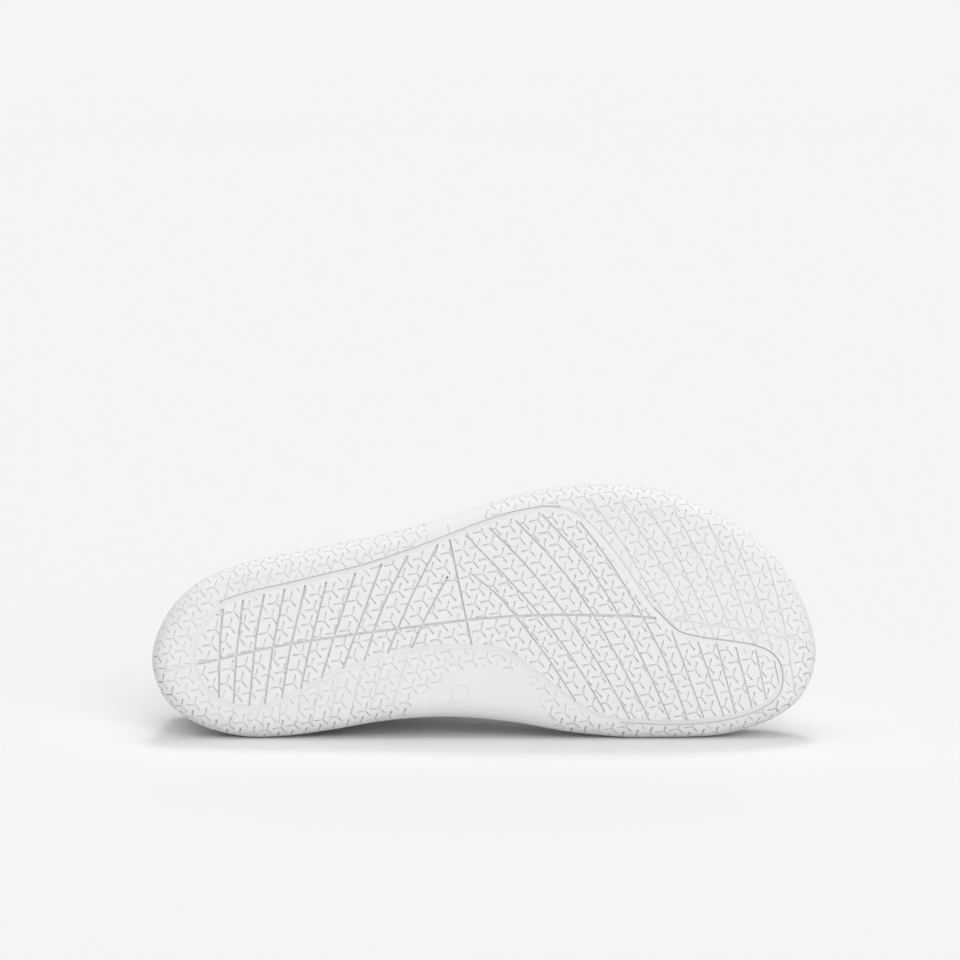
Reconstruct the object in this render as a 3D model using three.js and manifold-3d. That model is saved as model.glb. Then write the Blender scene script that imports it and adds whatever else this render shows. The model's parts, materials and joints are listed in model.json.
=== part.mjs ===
import * as THREE from 'three';
import { mergeVertices } from 'three/addons/utils/BufferGeometryUtils.js';
import Module from 'manifold-3d';

// A slip-on barefoot shoe for the right foot, lying on its medial side with the sole to the front.
// The shoe's own axes are s from heel to toe, t from the medial to the lateral edge, and h up from the ground.

// Sizes in mm
const soleLength = 258;
const soleBreadth = 98.8;
const plateThickness = 4.5;
const edgeRadius = 8;
const bedRadius = 5;
const rimWall = 3;
const rimLip = 0.8;
const heelRim = 16;
const waistRim = 11.5;
const toeRim = 19;
const toeSpring = 6;
const heelSpring = 1.5;
const archRise = 1.5;
const insoleThickness = 3;
const upperWall = 2;
const upperBulge = 2;
const heelHeight = 64;
const dipHeight = 51;
const instepHeight = 74;
const toeBoxHeight = 41;
const cuffDepth = 13;
const cuffThickness = 1.2;
const counterThickness = 1;
const counterHeight = 43;
const counterLength = 54;
const loopDepth = 1;
const loopWall = 0.7;
const loopBank = 2;
const flexWidth = 1.2;
const flexDepth = 0.9;
const fitGap = 0.3;

// Numbers of steps
const stationsPerSide = 36;
const loopSteps = 64;
const crownSteps = 8;

// Far enough to cut right through
const beyond = 60;

const degree = Math.PI / 180;

// Turns rows of numbers into rows with named columns.
function named(columns, rows) {
  return rows.map((row) => Object.fromEntries(columns.map((name, i) => [name, row[i]])));
}

// The sole's outline: shares of the length from the heel, and shares of the breadth from the medial side.
const outlineRows = named(['at', 'medial', 'lateral'], [
  [0, 0.303, 0.303],
  [0.021, 0.147, 0.477],
  [0.066, 0.057, 0.603],
  [0.133, 0.006, 0.683],
  [0.201, 0.006, 0.722],
  [0.268, 0.029, 0.757],
  [0.358, 0.068, 0.804],
  [0.448, 0.08, 0.871],
  [0.538, 0.061, 0.945],
  [0.628, 0.022, 0.988],
  [0.718, 0, 0.992],
  [0.763, 0, 0.973],
  [0.808, 0.002, 0.933],
  [0.853, 0.01, 0.879],
  [0.898, 0.037, 0.8],
  [0.943, 0.084, 0.691],
  [0.979, 0.162, 0.542],
  [1, 0.319, 0.319],
]);

// The centre line runs between the middles of the round heel and the round toe.
const heelCentre = 0.13;
const toeCentre = 0.81;

// The rim's height: 0 at the waist's height, 1 at the heel's or the toe's.
const rimRows = named(['at', 'heel', 'toe'], [
  [0, 1, 0],
  [0.1, 0.85, 0],
  [0.25, 0.3, 0],
  [0.4, 0, 0],
  [0.6, 0, 0],
  [0.75, 0, 0.12],
  [0.88, 0, 0.5],
  [1, 0, 1],
]);

// The ridge over the foot: 0 at the toe box's height, 1 at the instep's, and above it the shape of the ankle.
const ridgeRows = named(['at', 'rise'], [
  [0.13, 1.85],
  [0.25, 1.85],
  [0.36, 1.68],
  [0.44, 1.3],
  [0.5, 1],
  [0.58, 0.64],
  [0.66, 0.33],
  [0.74, 0.09],
  [0.81, 0],
]);

// The groove that rings the tread's inner field, from the lateral heel to the toe and back along the medial side.
const loopRows = named(['at', 'across'], [
  [0.103, 0.53],
  [0.142, 0.569],
  [0.204, 0.607],
  [0.27, 0.648],
  [0.328, 0.687],
  [0.414, 0.765],
  [0.517, 0.867],
  [0.555, 0.894],
  [0.591, 0.908],
  [0.619, 0.902],
  [0.645, 0.867],
  [0.67, 0.8],
  [0.696, 0.714],
  [0.725, 0.593],
  [0.75, 0.495],
  [0.79, 0.421],
  [0.877, 0.378],
  [0.928, 0.339],
  [0.948, 0.241],
  [0.925, 0.127],
  [0.845, 0.065],
  [0.79, 0.053],
  [0.736, 0.057],
  [0.688, 0.084],
  [0.652, 0.127],
  [0.616, 0.194],
  [0.58, 0.28],
  [0.547, 0.327],
  [0.507, 0.354],
  [0.463, 0.366],
  [0.397, 0.342],
  [0.313, 0.284],
  [0.238, 0.194],
  [0.177, 0.121],
  [0.145, 0.112],
  [0.114, 0.127],
  [0.073, 0.205],
  [0.057, 0.339],
  [0.071, 0.454],
]);

// The long flex line down the middle of the tread.
const middleRows = named(['at', 'across'], [
  [0.075, 0.293],
  [0.183, 0.358],
  [0.276, 0.401],
  [0.369, 0.434],
  [0.465, 0.464],
  [0.547, 0.478],
  [0.619, 0.483],
  [0.718, 0.478],
  [0.762, 0.468],
  [0.826, 0.449],
  [0.907, 0.413],
]);

// The flex lines across the inner field, each from its lateral end to its medial end.
const crossRows = named(['at', 'across', 'toAt', 'toAcross'], [
  [0.109, 0.507, 0.102, 0.162],
  [0.139, 0.542, 0.124, 0.14],
  [0.171, 0.566, 0.147, 0.135],
  [0.201, 0.585, 0.171, 0.145],
  [0.232, 0.601, 0.196, 0.172],
  [0.264, 0.616, 0.225, 0.2],
  [0.307, 0.648, 0.255, 0.235],
  [0.346, 0.683, 0.286, 0.27],
  [0.385, 0.714, 0.319, 0.305],
  [0.431, 0.759, 0.354, 0.337],
  [0.448, 0.777, 0.481, 0.38],
  [0.472, 0.793, 0.636, 0.17],
  [0.507, 0.824, 0.684, 0.115],
  [0.547, 0.851, 0.718, 0.09],
  [0.586, 0.875, 0.747, 0.08],
  [0.642, 0.847, 0.778, 0.08],
  [0.739, 0.468, 0.805, 0.08],
  [0.78, 0.421, 0.828, 0.088],
  [0.819, 0.378, 0.858, 0.098],
  [0.847, 0.374, 0.876, 0.102],
  [0.876, 0.358, 0.901, 0.127],
  [0.906, 0.346, 0.922, 0.161],
]);

// A column's value at a share of the length, on a smooth curve through the rows.
function valueAt(rows, column, at) {
  const last = rows.length - 1;
  const inside = THREE.MathUtils.clamp(at, rows[0].at, rows[last].at);
  let i = 0;
  while (i < last - 1 && rows[i + 1].at < inside) i += 1;
  const slope = (a, b) => (rows[b][column] - rows[a][column]) / (rows[b].at - rows[a].at);
  const width = rows[i + 1].at - rows[i].at;
  const u = (inside - rows[i].at) / width;
  const start = slope(Math.max(i - 1, 0), i + 1) * width;
  const end = slope(i, Math.min(i + 2, last)) * width;
  const from = rows[i][column];
  const to = rows[i + 1][column];
  return from + u * (start + u * (3 * (to - from) - 2 * start - end + u * (2 * (from - to) + start + end)));
}

const edgeCurve = new THREE.CatmullRomCurve3(
  [
    ...outlineRows.map((row) => new THREE.Vector3(row.at * soleLength, row.medial * soleBreadth, 0)),
    ...outlineRows.slice(1, -1).reverse().map((row) => (
      new THREE.Vector3(row.at * soleLength, row.lateral * soleBreadth, 0))),
  ],
  true,
);

// The middle of the sole between its two edges.
function middleOf(at) {
  const medial = valueAt(outlineRows, 'medial', at);
  const lateral = valueAt(outlineRows, 'lateral', at);
  return new THREE.Vector2(at * soleLength, ((medial + lateral) / 2) * soleBreadth);
}

// One station of the outline: its edge point, the centre point that it faces, and the way in between.
function stationAt(index) {
  const side = index <= stationsPerSide ? index : 2 * stationsPerSide - index;
  const point = (u) => new THREE.Vector2().copy(edgeCurve.getPoint(u));
  const share = side / (2 * stationsPerSide);
  const medial = point(share);
  const lateral = point(side ? 1 - share : 0);
  const edge = index <= stationsPerSide ? medial : lateral;
  const at = (medial.x + lateral.x) / 2 / soleLength;
  const centre = middleOf(THREE.MathUtils.clamp(at, heelCentre, toeCentre));
  const reach = edge.distanceTo(centre);
  return { edge, centre, reach, inward: centre.clone().sub(edge).normalize() };
}

const stations = Array.from({ length: 2 * stationsPerSide }, (_, i) => stationAt(i));

// The tread's height over the ground: level under heel and ball, with the springs and the arch.
function groundHeight(s, t) {
  const toe = Math.max(0, (s / soleLength - 0.76) / 0.24);
  const heel = Math.max(0, 1 - s / soleLength / 0.08);
  const length = THREE.MathUtils.clamp((s / soleLength - 0.36) / 0.26, 0, 1);
  const side = THREE.MathUtils.smoothstep(0.5 - t / soleBreadth, 0.1, 0.45);
  return toeSpring * toe ** 2 + heelSpring * heel ** 2 + archRise * Math.sin(Math.PI * length) ** 2 * side;
}

function rimHeight(s) {
  const heel = valueAt(rimRows, 'heel', s / soleLength);
  const toe = valueAt(rimRows, 'toe', s / soleLength);
  return waistRim + (heelRim - waistRim) * heel + (toeRim - waistRim) * toe;
}

function ridgeHeight(s) {
  return toeBoxHeight + (instepHeight - toeBoxHeight) * valueAt(ridgeRows, 'rise', s / soleLength);
}

// A point so far in from the edge, and so high over the tread's own height there.
function overTread(station, inset, height) {
  const place = station.edge.clone().addScaledVector(station.inward, Math.min(inset, station.reach));
  return new THREE.Vector3(place.x, place.y, groundHeight(place.x, place.y) + height);
}

// A point so far in from the edge at a height that counts from the ground.
function overGround(station, inset, height) {
  const place = station.edge.clone().addScaledVector(station.inward, Math.min(inset, station.reach));
  return new THREE.Vector3(place.x, place.y, height);
}

// The shoe's axes as three.js ones, for a shoe that stands with +Z up.
function toStanding(point) {
  return new THREE.Vector3(point.x, -point.y, point.z);
}

const wasm = await Module();
wasm.setup();

// A closed solid from points and triangles, whichever way the triangles face.
function solidOf(points, triangles) {
  const raw = new THREE.BufferGeometry().setFromPoints(points.map(toStanding));
  raw.setIndex(triangles.flat());
  const merged = mergeVertices(raw, 1e-4);
  const index = merged.index.array;
  const kept = [];
  for (let i = 0; i < index.length; i += 3) {
    const [a, b, c] = [index[i], index[i + 1], index[i + 2]];
    if (a !== b && b !== c && c !== a) kept.push([a, b, c]);
  }
  const make = (faces) => new wasm.Manifold(new wasm.Mesh({
    numProp: 3,
    vertProperties: merged.attributes.position.array,
    triVerts: Uint32Array.from(faces.flat()),
  }));
  const made = make(kept);
  return made.volume() > 0 ? made : make(kept.map(([a, b, c]) => [a, c, b]));
}

// The triangles between rows of points that follow each other, with the rows' ends joined or capped.
function rowTriangles(rows, size, { rowsJoin, pointsJoin, capped }) {
  const triangles = [];
  for (let i = 0; i < (rowsJoin ? rows : rows - 1); i += 1) {
    for (let j = 0; j < (pointsJoin ? size : size - 1); j += 1) {
      const [a, b] = [i * size + j, i * size + ((j + 1) % size)];
      const [c, d] = [((i + 1) % rows) * size + j, ((i + 1) % rows) * size + ((j + 1) % size)];
      triangles.push([a, b, c], [b, d, c]);
    }
  }
  for (let j = 1; capped && j < size - 1; j += 1) {
    triangles.push([0, j + 1, j], [(rows - 1) * size, (rows - 1) * size + j, (rows - 1) * size + j + 1]);
  }
  return triangles;
}

// A body from one profile per station, each from the centre line below to the centre line above.
function bodyOf(profileOf) {
  const profiles = stations.map(profileOf);
  const joins = { rowsJoin: true, pointsJoin: false, capped: false };
  return solidOf(profiles.flat(), rowTriangles(profiles.length, profiles[0].length, joins));
}

const bedEdge = rimLip + rimWall + bedRadius;

// The rounded corner of the bed inside the rim, kept clear by a gap.
function bedCorner(station, clear) {
  return [0, 45, 90].map((angle) => overTread(
    station,
    bedEdge - (bedRadius - clear) * Math.sin(angle * degree),
    plateThickness + clear + (bedRadius - clear) * (1 - Math.cos(angle * degree)),
  ));
}

function outsoleProfile(station) {
  const rim = rimHeight(station.edge.x);
  const flat = [1, 0.75, 0.5, 0.25].map((share) => (
    overTread(station, edgeRadius + (station.reach - edgeRadius) * share, 0)));
  const corner = [0, 22.5, 45, 67.5, 90].map((angle) => overTread(
    station,
    edgeRadius * (1 - Math.sin(angle * degree)),
    edgeRadius * (1 - Math.cos(angle * degree)),
  ));
  const top = [rimLip, rimLip + rimWall].map((inset) => overGround(station, inset, rim));
  const bed = [0.5, 1].map((share) => (
    overTread(station, bedEdge + (station.reach - bedEdge) * share, plateThickness)));
  return [...flat, ...corner, ...top, ...bedCorner(station, 0).reverse(), ...bed];
}

const upperEdge = rimLip + rimWall + fitGap;

// The crown over the rim, closed over the foot and up the ankle, grown or shrunk by an inset.
function crown(station, inset) {
  const rim = rimHeight(station.edge.x);
  const top = ridgeHeight(station.centre.x) - inset;
  const foot = upperEdge + inset;
  return Array.from({ length: crownSteps }, (_, i) => {
    const angle = (i / crownSteps) * 90 * degree;
    const swell = upperBulge * Math.sin(2 * angle) * Math.cos(angle);
    const inward = foot + (station.reach - foot) * (1 - Math.cos(angle)) - swell;
    return overGround(station, inward, rim + (top - rim) * Math.sin(angle));
  }).concat(overGround(station, station.reach, top));
}

function upperOuterProfile(station) {
  const bed = [1, 0.5].map((share) => (
    overTread(station, bedEdge + (station.reach - bedEdge) * share, plateThickness + fitGap)));
  return [...bed, ...bedCorner(station, fitGap), ...crown(station, 0)];
}

// The crown with a straight wall down past the ground.
function crownProfile(inset) {
  return (station) => [
    overGround(station, station.reach, -beyond),
    overGround(station, upperEdge + inset, -beyond),
    ...crown(station, inset),
  ];
}

// The collar's line from behind the heel, down under the ankle and up over the instep.
const collarFront = 0.46;
const collarCurve = new THREE.SplineCurve([
  [-0.1, heelHeight + 1],
  [0, heelHeight + 1],
  [0.06, heelHeight - 0.25 * (heelHeight - dipHeight)],
  [0.15, heelHeight - 0.8 * (heelHeight - dipHeight)],
  [0.23, dipHeight],
  [0.31, dipHeight + 0.12 * (instepHeight - dipHeight)],
  [0.39, dipHeight + 0.62 * (instepHeight - dipHeight)],
  [collarFront, ridgeHeight(collarFront * soleLength)],
  [0.52, ridgeHeight(collarFront * soleLength) + 0.9 * (instepHeight - dipHeight)],
].map(([at, height]) => new THREE.Vector2(at * soleLength, height)));

// A side view's outline, made as wide as the shoe and more.
function sideCutter(outline) {
  const geometry = new THREE.ExtrudeGeometry(new THREE.Shape(outline), {
    depth: soleBreadth + 2 * beyond,
    bevelEnabled: false,
  });
  geometry.rotateX(90 * degree);
  geometry.translate(0, beyond, 0);
  geometry.deleteAttribute('normal');
  geometry.deleteAttribute('uv');
  const merged = mergeVertices(geometry, 1e-4);
  return new wasm.Manifold(new wasm.Mesh({
    numProp: 3,
    vertProperties: merged.attributes.position.array,
    triVerts: Uint32Array.from(merged.index.array),
  }));
}

const collarPoints = collarCurve.getPoints(36);

// The collar's line moved down and forward by a depth.
function collarBelow(depth) {
  return collarPoints.map((point, i) => {
    const along = collarCurve.getTangent(i / (collarPoints.length - 1));
    return new THREE.Vector2(point.x + along.y * depth, point.y - along.x * depth);
  });
}

const aboveCollar = sideCutter([
  ...collarPoints,
  new THREE.Vector2(soleLength, instepHeight + 2 * beyond),
  new THREE.Vector2(-beyond, instepHeight + 2 * beyond),
]);

// A skin of a thickness that lies on the upper with a gap.
function skin(thickness) {
  return bodyOf(crownProfile(-fitGap - thickness)).subtract(bodyOf(crownProfile(-fitGap)));
}

// A groove's cutter along a path: its section's points are across the path and into the tread.
function grooveCutter(path, section, closed) {
  const points = path.flatMap((point, i) => {
    const before = path[closed ? (i + path.length - 1) % path.length : Math.max(i - 1, 0)];
    const after = path[closed ? (i + 1) % path.length : Math.min(i + 1, path.length - 1)];
    const along = after.clone().sub(before).normalize();
    const height = treadHeight(point);
    return section.map(([across, depth]) => new THREE.Vector3(
      point.x - along.y * across,
      point.y + along.x * across,
      height + depth,
    ));
  });
  const joins = { rowsJoin: closed, pointsJoin: true, capped: !closed };
  return solidOf(points, rowTriangles(path.length, section.length, joins));
}

// The tread's height with the rounding of its edge.
function treadHeight(place) {
  const inset = Math.min(...stations.map((station, i) => {
    const next = stations[(i + 1) % stations.length].edge;
    const line = new THREE.Line3(
      new THREE.Vector3(station.edge.x, station.edge.y, 0),
      new THREE.Vector3(next.x, next.y, 0),
    );
    const point = new THREE.Vector3(place.x, place.y, 0);
    return line.closestPointToPoint(point, true, new THREE.Vector3()).distanceTo(point);
  }));
  const bend = Math.max(0, 1 - inset / edgeRadius);
  return groundHeight(place.x, place.y) + edgeRadius * (1 - Math.sqrt(1 - bend ** 2));
}

const placeOf = (at, across) => new THREE.Vector2(at * soleLength, across * soleBreadth);

function pathOf(rows, closed, steps) {
  const points = rows.map((row) => new THREE.Vector3(row.at * soleLength, row.across * soleBreadth, 0));
  const curve = new THREE.CatmullRomCurve3(points, closed);
  return curve.getSpacedPoints(steps).slice(0, closed ? steps : steps + 1)
    .map((point) => new THREE.Vector2(point.x, point.y));
}

// The loop's outer wall is steep and its inner bank is gentle.
function loopCutter() {
  const section = [
    [loopWall, -edgeRadius],
    [loopWall, loopDepth],
    [0, loopDepth],
    [-loopBank, 0],
    [-loopBank - loopWall, -edgeRadius],
  ];
  return grooveCutter(pathOf(loopRows, true, loopSteps), section, true);
}

const flexSection = [
  [flexWidth / 2, -edgeRadius],
  [flexWidth / 2, flexDepth],
  [-flexWidth / 2, flexDepth],
  [-flexWidth / 2, -edgeRadius],
];

function crossCutter(row) {
  const from = placeOf(row.at, row.across);
  const to = placeOf(row.toAt, row.toAcross);
  const path = [0, 0.2, 0.4, 0.6, 0.8, 1].map((share) => from.clone().lerp(to, share));
  return grooveCutter(path, flexSection, false);
}

function makeOutsole() {
  const middle = grooveCutter(pathOf(middleRows, false, 20), flexSection, false);
  const cutters = [loopCutter(), middle, ...crossRows.map(crossCutter)];
  return cutters.reduce((sole, cutter) => sole.subtract(cutter), bodyOf(outsoleProfile));
}

function makeInsole() {
  const edge = upperEdge + upperWall + fitGap;
  return bodyOf((station) => [
    ...[1, 0.5, 0].map((share) => (
      overTread(station, bedEdge + (station.reach - bedEdge) * share, plateThickness + fitGap))),
    overTread(station, edge, plateThickness + fitGap + insoleThickness / 2),
    overTread(station, edge + insoleThickness / 4, plateThickness + fitGap + insoleThickness),
    ...[0.5, 1].map((share) => overTread(
      station,
      bedEdge + (station.reach - bedEdge) * share,
      plateThickness + fitGap + insoleThickness,
    )),
  ]);
}

function makeUpper() {
  return bodyOf(upperOuterProfile).subtract(bodyOf(crownProfile(upperWall))).subtract(aboveCollar);
}

function makeCuff() {
  const band = sideCutter([...collarPoints, ...collarBelow(cuffDepth).reverse()]);
  return skin(cuffThickness).intersect(band);
}

// The counter wraps round the heel between the rim and the cuff.
function makeCounter() {
  const foot = heelRim + fitGap;
  const edge = new THREE.SplineCurve([
    new THREE.Vector2(-beyond, counterHeight),
    new THREE.Vector2(0, counterHeight),
    new THREE.Vector2(counterLength * 0.5, counterHeight - 0.2 * (counterHeight - foot)),
    new THREE.Vector2(counterLength * 0.85, counterHeight - 0.6 * (counterHeight - foot)),
    new THREE.Vector2(counterLength, foot),
  ]);
  const region = sideCutter([new THREE.Vector2(-beyond, foot), ...edge.getPoints(16).reverse()].reverse());
  return skin(counterThickness).intersect(region);
}

const finishes = {
  outsole: { color: 0xe9e9e6, roughness: 0.62 },
  insole: { color: 0xcfcdc8, roughness: 0.9 },
  upper: { color: 0xdedcd6, roughness: 0.92 },
  collar_cuff: { color: 0xd2d0ca, roughness: 0.95 },
  heel_counter: { color: 0xe4e3de, roughness: 0.7 },
};

function meshOf(name, solid) {
  const made = solid.getMesh();
  const geometry = new THREE.BufferGeometry();
  geometry.setAttribute('position', new THREE.BufferAttribute(new Float32Array(made.vertProperties), 3));
  geometry.setIndex(new THREE.BufferAttribute(new Uint32Array(made.triVerts), 1));
  geometry.computeVertexNormals();
  const mesh = new THREE.Mesh(geometry, new THREE.MeshStandardMaterial({ ...finishes[name], metalness: 0 }));
  mesh.name = name;
  return mesh;
}

const standing = new THREE.Group();
standing.add(
  meshOf('outsole', makeOutsole()),
  meshOf('insole', makeInsole()),
  meshOf('upper', makeUpper()),
  meshOf('collar_cuff', makeCuff()),
  meshOf('heel_counter', makeCounter()),
);

// How far a mesh reaches to the medial side when the shoe leans by an angle.
function medialReach(mesh, lean) {
  const position = mesh.geometry.attributes.position;
  let reach = -Infinity;
  for (let i = 0; i < position.count; i += 1) {
    reach = Math.max(reach, position.getY(i) * Math.cos(lean) + position.getZ(i) * Math.sin(lean));
  }
  return reach;
}

// The lean at which the sole's medial edge and the collar lie on one plane.
function restingLean() {
  const [sole, ...others] = standing.children;
  let [low, high] = [0, 45 * degree];
  for (let i = 0; i < 40; i += 1) {
    const lean = (low + high) / 2;
    const upperReach = Math.max(...others.map((mesh) => medialReach(mesh, lean)));
    if (medialReach(sole, lean) > upperReach) low = lean;
    else high = lean;
  }
  return low;
}

standing.rotation.x = -90 * degree - restingLean();

const shoe = new THREE.Group();
shoe.add(standing);
shoe.updateMatrixWorld(true);
const box = new THREE.Box3().setFromObject(shoe, true);
standing.position.set(-(box.min.x + box.max.x) / 2, -(box.min.y + box.max.y) / 2, -box.min.z);

export default shoe;
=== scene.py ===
import json
import math
import bmesh
import bpy
import numpy as np
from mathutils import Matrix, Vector
from mathutils.bvhtree import BVHTree
from mathutils.kdtree import KDTree


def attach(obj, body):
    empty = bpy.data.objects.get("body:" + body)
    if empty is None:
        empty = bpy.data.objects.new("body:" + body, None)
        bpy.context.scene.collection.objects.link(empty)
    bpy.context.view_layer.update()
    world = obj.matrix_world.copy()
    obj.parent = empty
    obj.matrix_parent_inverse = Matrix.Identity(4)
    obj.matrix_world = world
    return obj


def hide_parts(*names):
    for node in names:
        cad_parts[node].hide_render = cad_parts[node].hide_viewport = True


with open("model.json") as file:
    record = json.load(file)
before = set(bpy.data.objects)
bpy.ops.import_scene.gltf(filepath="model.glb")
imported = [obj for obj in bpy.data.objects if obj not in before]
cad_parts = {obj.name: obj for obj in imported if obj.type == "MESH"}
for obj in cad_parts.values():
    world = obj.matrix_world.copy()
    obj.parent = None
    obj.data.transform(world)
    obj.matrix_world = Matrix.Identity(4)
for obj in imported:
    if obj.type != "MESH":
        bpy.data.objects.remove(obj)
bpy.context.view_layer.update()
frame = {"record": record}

mm = 0.001

# The shoe's own axes in mm: s from heel to toe, t from the medial to the lateral edge, h upwards
lastSizes = {
    "length": 258.0,
    "breadth": 98.8,
    "plate": 4.5,
    "edgeRadius": 8.0,
    "bedRadius": 5.0,
    "rimWall": 3.0,
    "rimLip": 0.8,
    "rimRound": 1.1,
    "innerRound": 0.66,
    "wallLine": 3.4,
    "wallLineDepth": 0.5,
    "heelRim": 16.0,
    "waistRim": 11.5,
    "toeRim": 19.0,
    "toeSpring": 6.0,
    "toeSpringFrom": 0.76,
    "heelSpring": 1.5,
    "heelSpringTo": 0.08,
    "archRise": 1.5,
    "archFrom": 0.36,
    "archSpan": 0.26,
    "archAcross": (0.1, 0.45),
    "heelCentre": 0.13,
    "toeCentre": 0.81,
    "stationsPerSide": 230,
    "mountPlace": (0.19, 0.25),
    "sharpAngle": 28,
}

# The fine line in the side wall: how far below its middle, and its share of the depth
wallLineRows = [(0.7, 0), (0.4, 0.8), (0, 1), (-0.4, 0.8), (-0.7, 0)]

# at is a share of the length from the heel, medial and lateral are shares of the breadth
outlineRows = [
    (0, 0.303, 0.303),
    (0.021, 0.147, 0.477),
    (0.066, 0.057, 0.603),
    (0.133, 0.006, 0.683),
    (0.201, 0.006, 0.722),
    (0.268, 0.029, 0.757),
    (0.358, 0.068, 0.804),
    (0.448, 0.08, 0.871),
    (0.538, 0.061, 0.945),
    (0.628, 0.022, 0.988),
    (0.718, 0, 0.992),
    (0.763, 0, 0.973),
    (0.808, 0.002, 0.933),
    (0.853, 0.01, 0.879),
    (0.898, 0.037, 0.8),
    (0.943, 0.084, 0.691),
    (0.979, 0.162, 0.542),
    (1, 0.319, 0.319),
]

# at, the heel's share and the toe's share of what the rim rises over the waist
rimRows = [
    (0, 1, 0),
    (0.1, 0.85, 0),
    (0.25, 0.3, 0),
    (0.4, 0, 0),
    (0.6, 0, 0),
    (0.75, 0, 0.12),
    (0.88, 0, 0.5),
    (1, 0, 1),
]


def cubicBetween(a, b, start, end, u):  # from a to b with the slopes start and end
    return a + u * (start + u * (3 * (b - a) - 2 * start - end + u * (2 * (a - b) + start + end)))


def smoothAlong(rows, column, at):  # a smooth curve through the rows
    last = len(rows) - 1
    at = min(max(at, rows[0][0]), rows[last][0])
    i = 0
    while i < last - 1 and rows[i + 1][0] < at:
        i += 1

    def slope(a, b):
        return (rows[b][column] - rows[a][column]) / (rows[b][0] - rows[a][0])

    width = rows[i + 1][0] - rows[i][0]
    start = slope(max(i - 1, 0), i + 1) * width
    end = slope(i, min(i + 2, last)) * width
    return cubicBetween(rows[i][column], rows[i + 1][column], start, end, (at - rows[i][0]) / width)


def roundCurve(points, steps, closed=True):  # centripetal Catmull-Rom through flat points
    points = np.array(points, float)
    count = len(points)
    spans = count if closed else count - 1
    if not closed:
        points = np.vstack([2 * points[0] - points[1], points, 2 * points[-1] - points[-2]])
    made = []
    for place in np.linspace(0, 1, steps, endpoint=not closed) * spans:
        i = min(int(place), spans - 1)
        near = [points[(i - 1 + k) % count] if closed else points[i + k] for k in range(4)]
        d0, d1, d2 = (max(math.sqrt(np.linalg.norm(b - a)), 1e-4) for a, b in zip(near, near[1:]))
        p0, p1, p2, p3 = near
        start = ((p1 - p0) / d0 - (p2 - p0) / (d0 + d1) + (p2 - p1) / d1) * d1
        end = ((p2 - p1) / d1 - (p3 - p1) / (d1 + d2) + (p3 - p2) / d2) * d1
        made.append(cubicBetween(p1, p2, start, end, place - i))
    return np.array(made)


def evenly(points, step, closed=False):  # the same path with points a step apart
    points = np.array(points, float)
    if closed:
        points = np.vstack([points, points[:1]])
    run = np.concatenate([[0], np.cumsum(np.linalg.norm(np.diff(points, axis=0), axis=1))])
    places = np.linspace(0, run[-1], max(2, round(run[-1] / step) + 1))
    even = np.stack([np.interp(places, run, column) for column in points.T], axis=1)
    return even[:-1] if closed else even


def smoothStep(x, low, high):
    u = np.clip((np.asarray(x, float) - low) / (high - low), 0, 1)
    return u * u * (3 - 2 * u)


def unit(vectors):
    return vectors / np.linalg.norm(vectors, axis=-1, keepdims=True)


def groundHeight(s, t):
    last = lastSizes
    s = np.asarray(s, float) / last["length"]
    t = np.asarray(t, float) / last["breadth"]
    toe = np.maximum(0, (s - last["toeSpringFrom"]) / (1 - last["toeSpringFrom"]))
    heel = np.maximum(0, 1 - s / last["heelSpringTo"])
    arch = np.sin(math.pi * np.clip((s - last["archFrom"]) / last["archSpan"], 0, 1)) ** 2
    arch = arch * smoothStep(0.5 - t, *last["archAcross"])
    return last["toeSpring"] * toe ** 2 + last["heelSpring"] * heel ** 2 + last["archRise"] * arch


def rimHeight(s):
    last = lastSizes
    heel, toe = (smoothAlong(rimRows, column, s / last["length"]) for column in (1, 2))
    waist = last["waistRim"]
    return waist + (last["heelRim"] - waist) * heel + (last["toeRim"] - waist) * toe


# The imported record's tread mount gives the lean and the place of the shoe's axes in the frame
heelMount = next(m for m in frame["record"]["mounts"] if m["name"] == "heel_tread")
lean = math.atan2(heelMount["axis"][2], -heelMount["axis"][1])
shareScale = np.array([lastSizes["length"], lastSizes["breadth"]])
mountPlace = shareScale * lastSizes["mountPlace"]
lengthWay = np.array([1.0, 0, 0])
breadthWay = np.array([0, math.sin(lean), math.cos(lean)])
heightWay = np.array([0, math.cos(lean), -math.sin(lean)])
shoeOrigin = (
    np.array(heelMount["pos_m"]) / mm
    - lengthWay * mountPlace[0]
    - breadthWay * mountPlace[1]
)


def toFrame(points):  # from the shoe's axes in mm to the frame in metres
    points = np.asarray(points, float)
    return (shoeOrigin + points @ np.array([lengthWay, breadthWay, heightWay])) * mm


def frameObject(name, points, faces, edges=()):  # a mesh from points that are already in the frame
    mesh = bpy.data.meshes.new(name)
    mesh.from_pydata([tuple(p) for p in points], list(edges), faces)
    made = bpy.data.objects.new(name, mesh)
    bpy.context.scene.collection.objects.link(made)
    return made


def turnedOut(made, merge=0, sliver=0):  # turns the faces out, after merging double points if asked
    bm = bmesh.new()
    bm.from_mesh(made.data)
    if merge:
        bmesh.ops.remove_doubles(bm, verts=bm.verts, dist=merge)
        bmesh.ops.dissolve_degenerate(bm, dist=sliver, edges=bm.edges)
    bmesh.ops.recalc_face_normals(bm, faces=bm.faces)
    bm.to_mesh(made.data)
    bm.free()
    made.data.shade_smooth()
    return made


def meshObject(name, points, faces):  # a smooth mesh from points on the shoe's axes
    made = frameObject(name, toFrame(points), faces)
    made.data.validate()
    made.data.shade_smooth()
    return made


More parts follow.
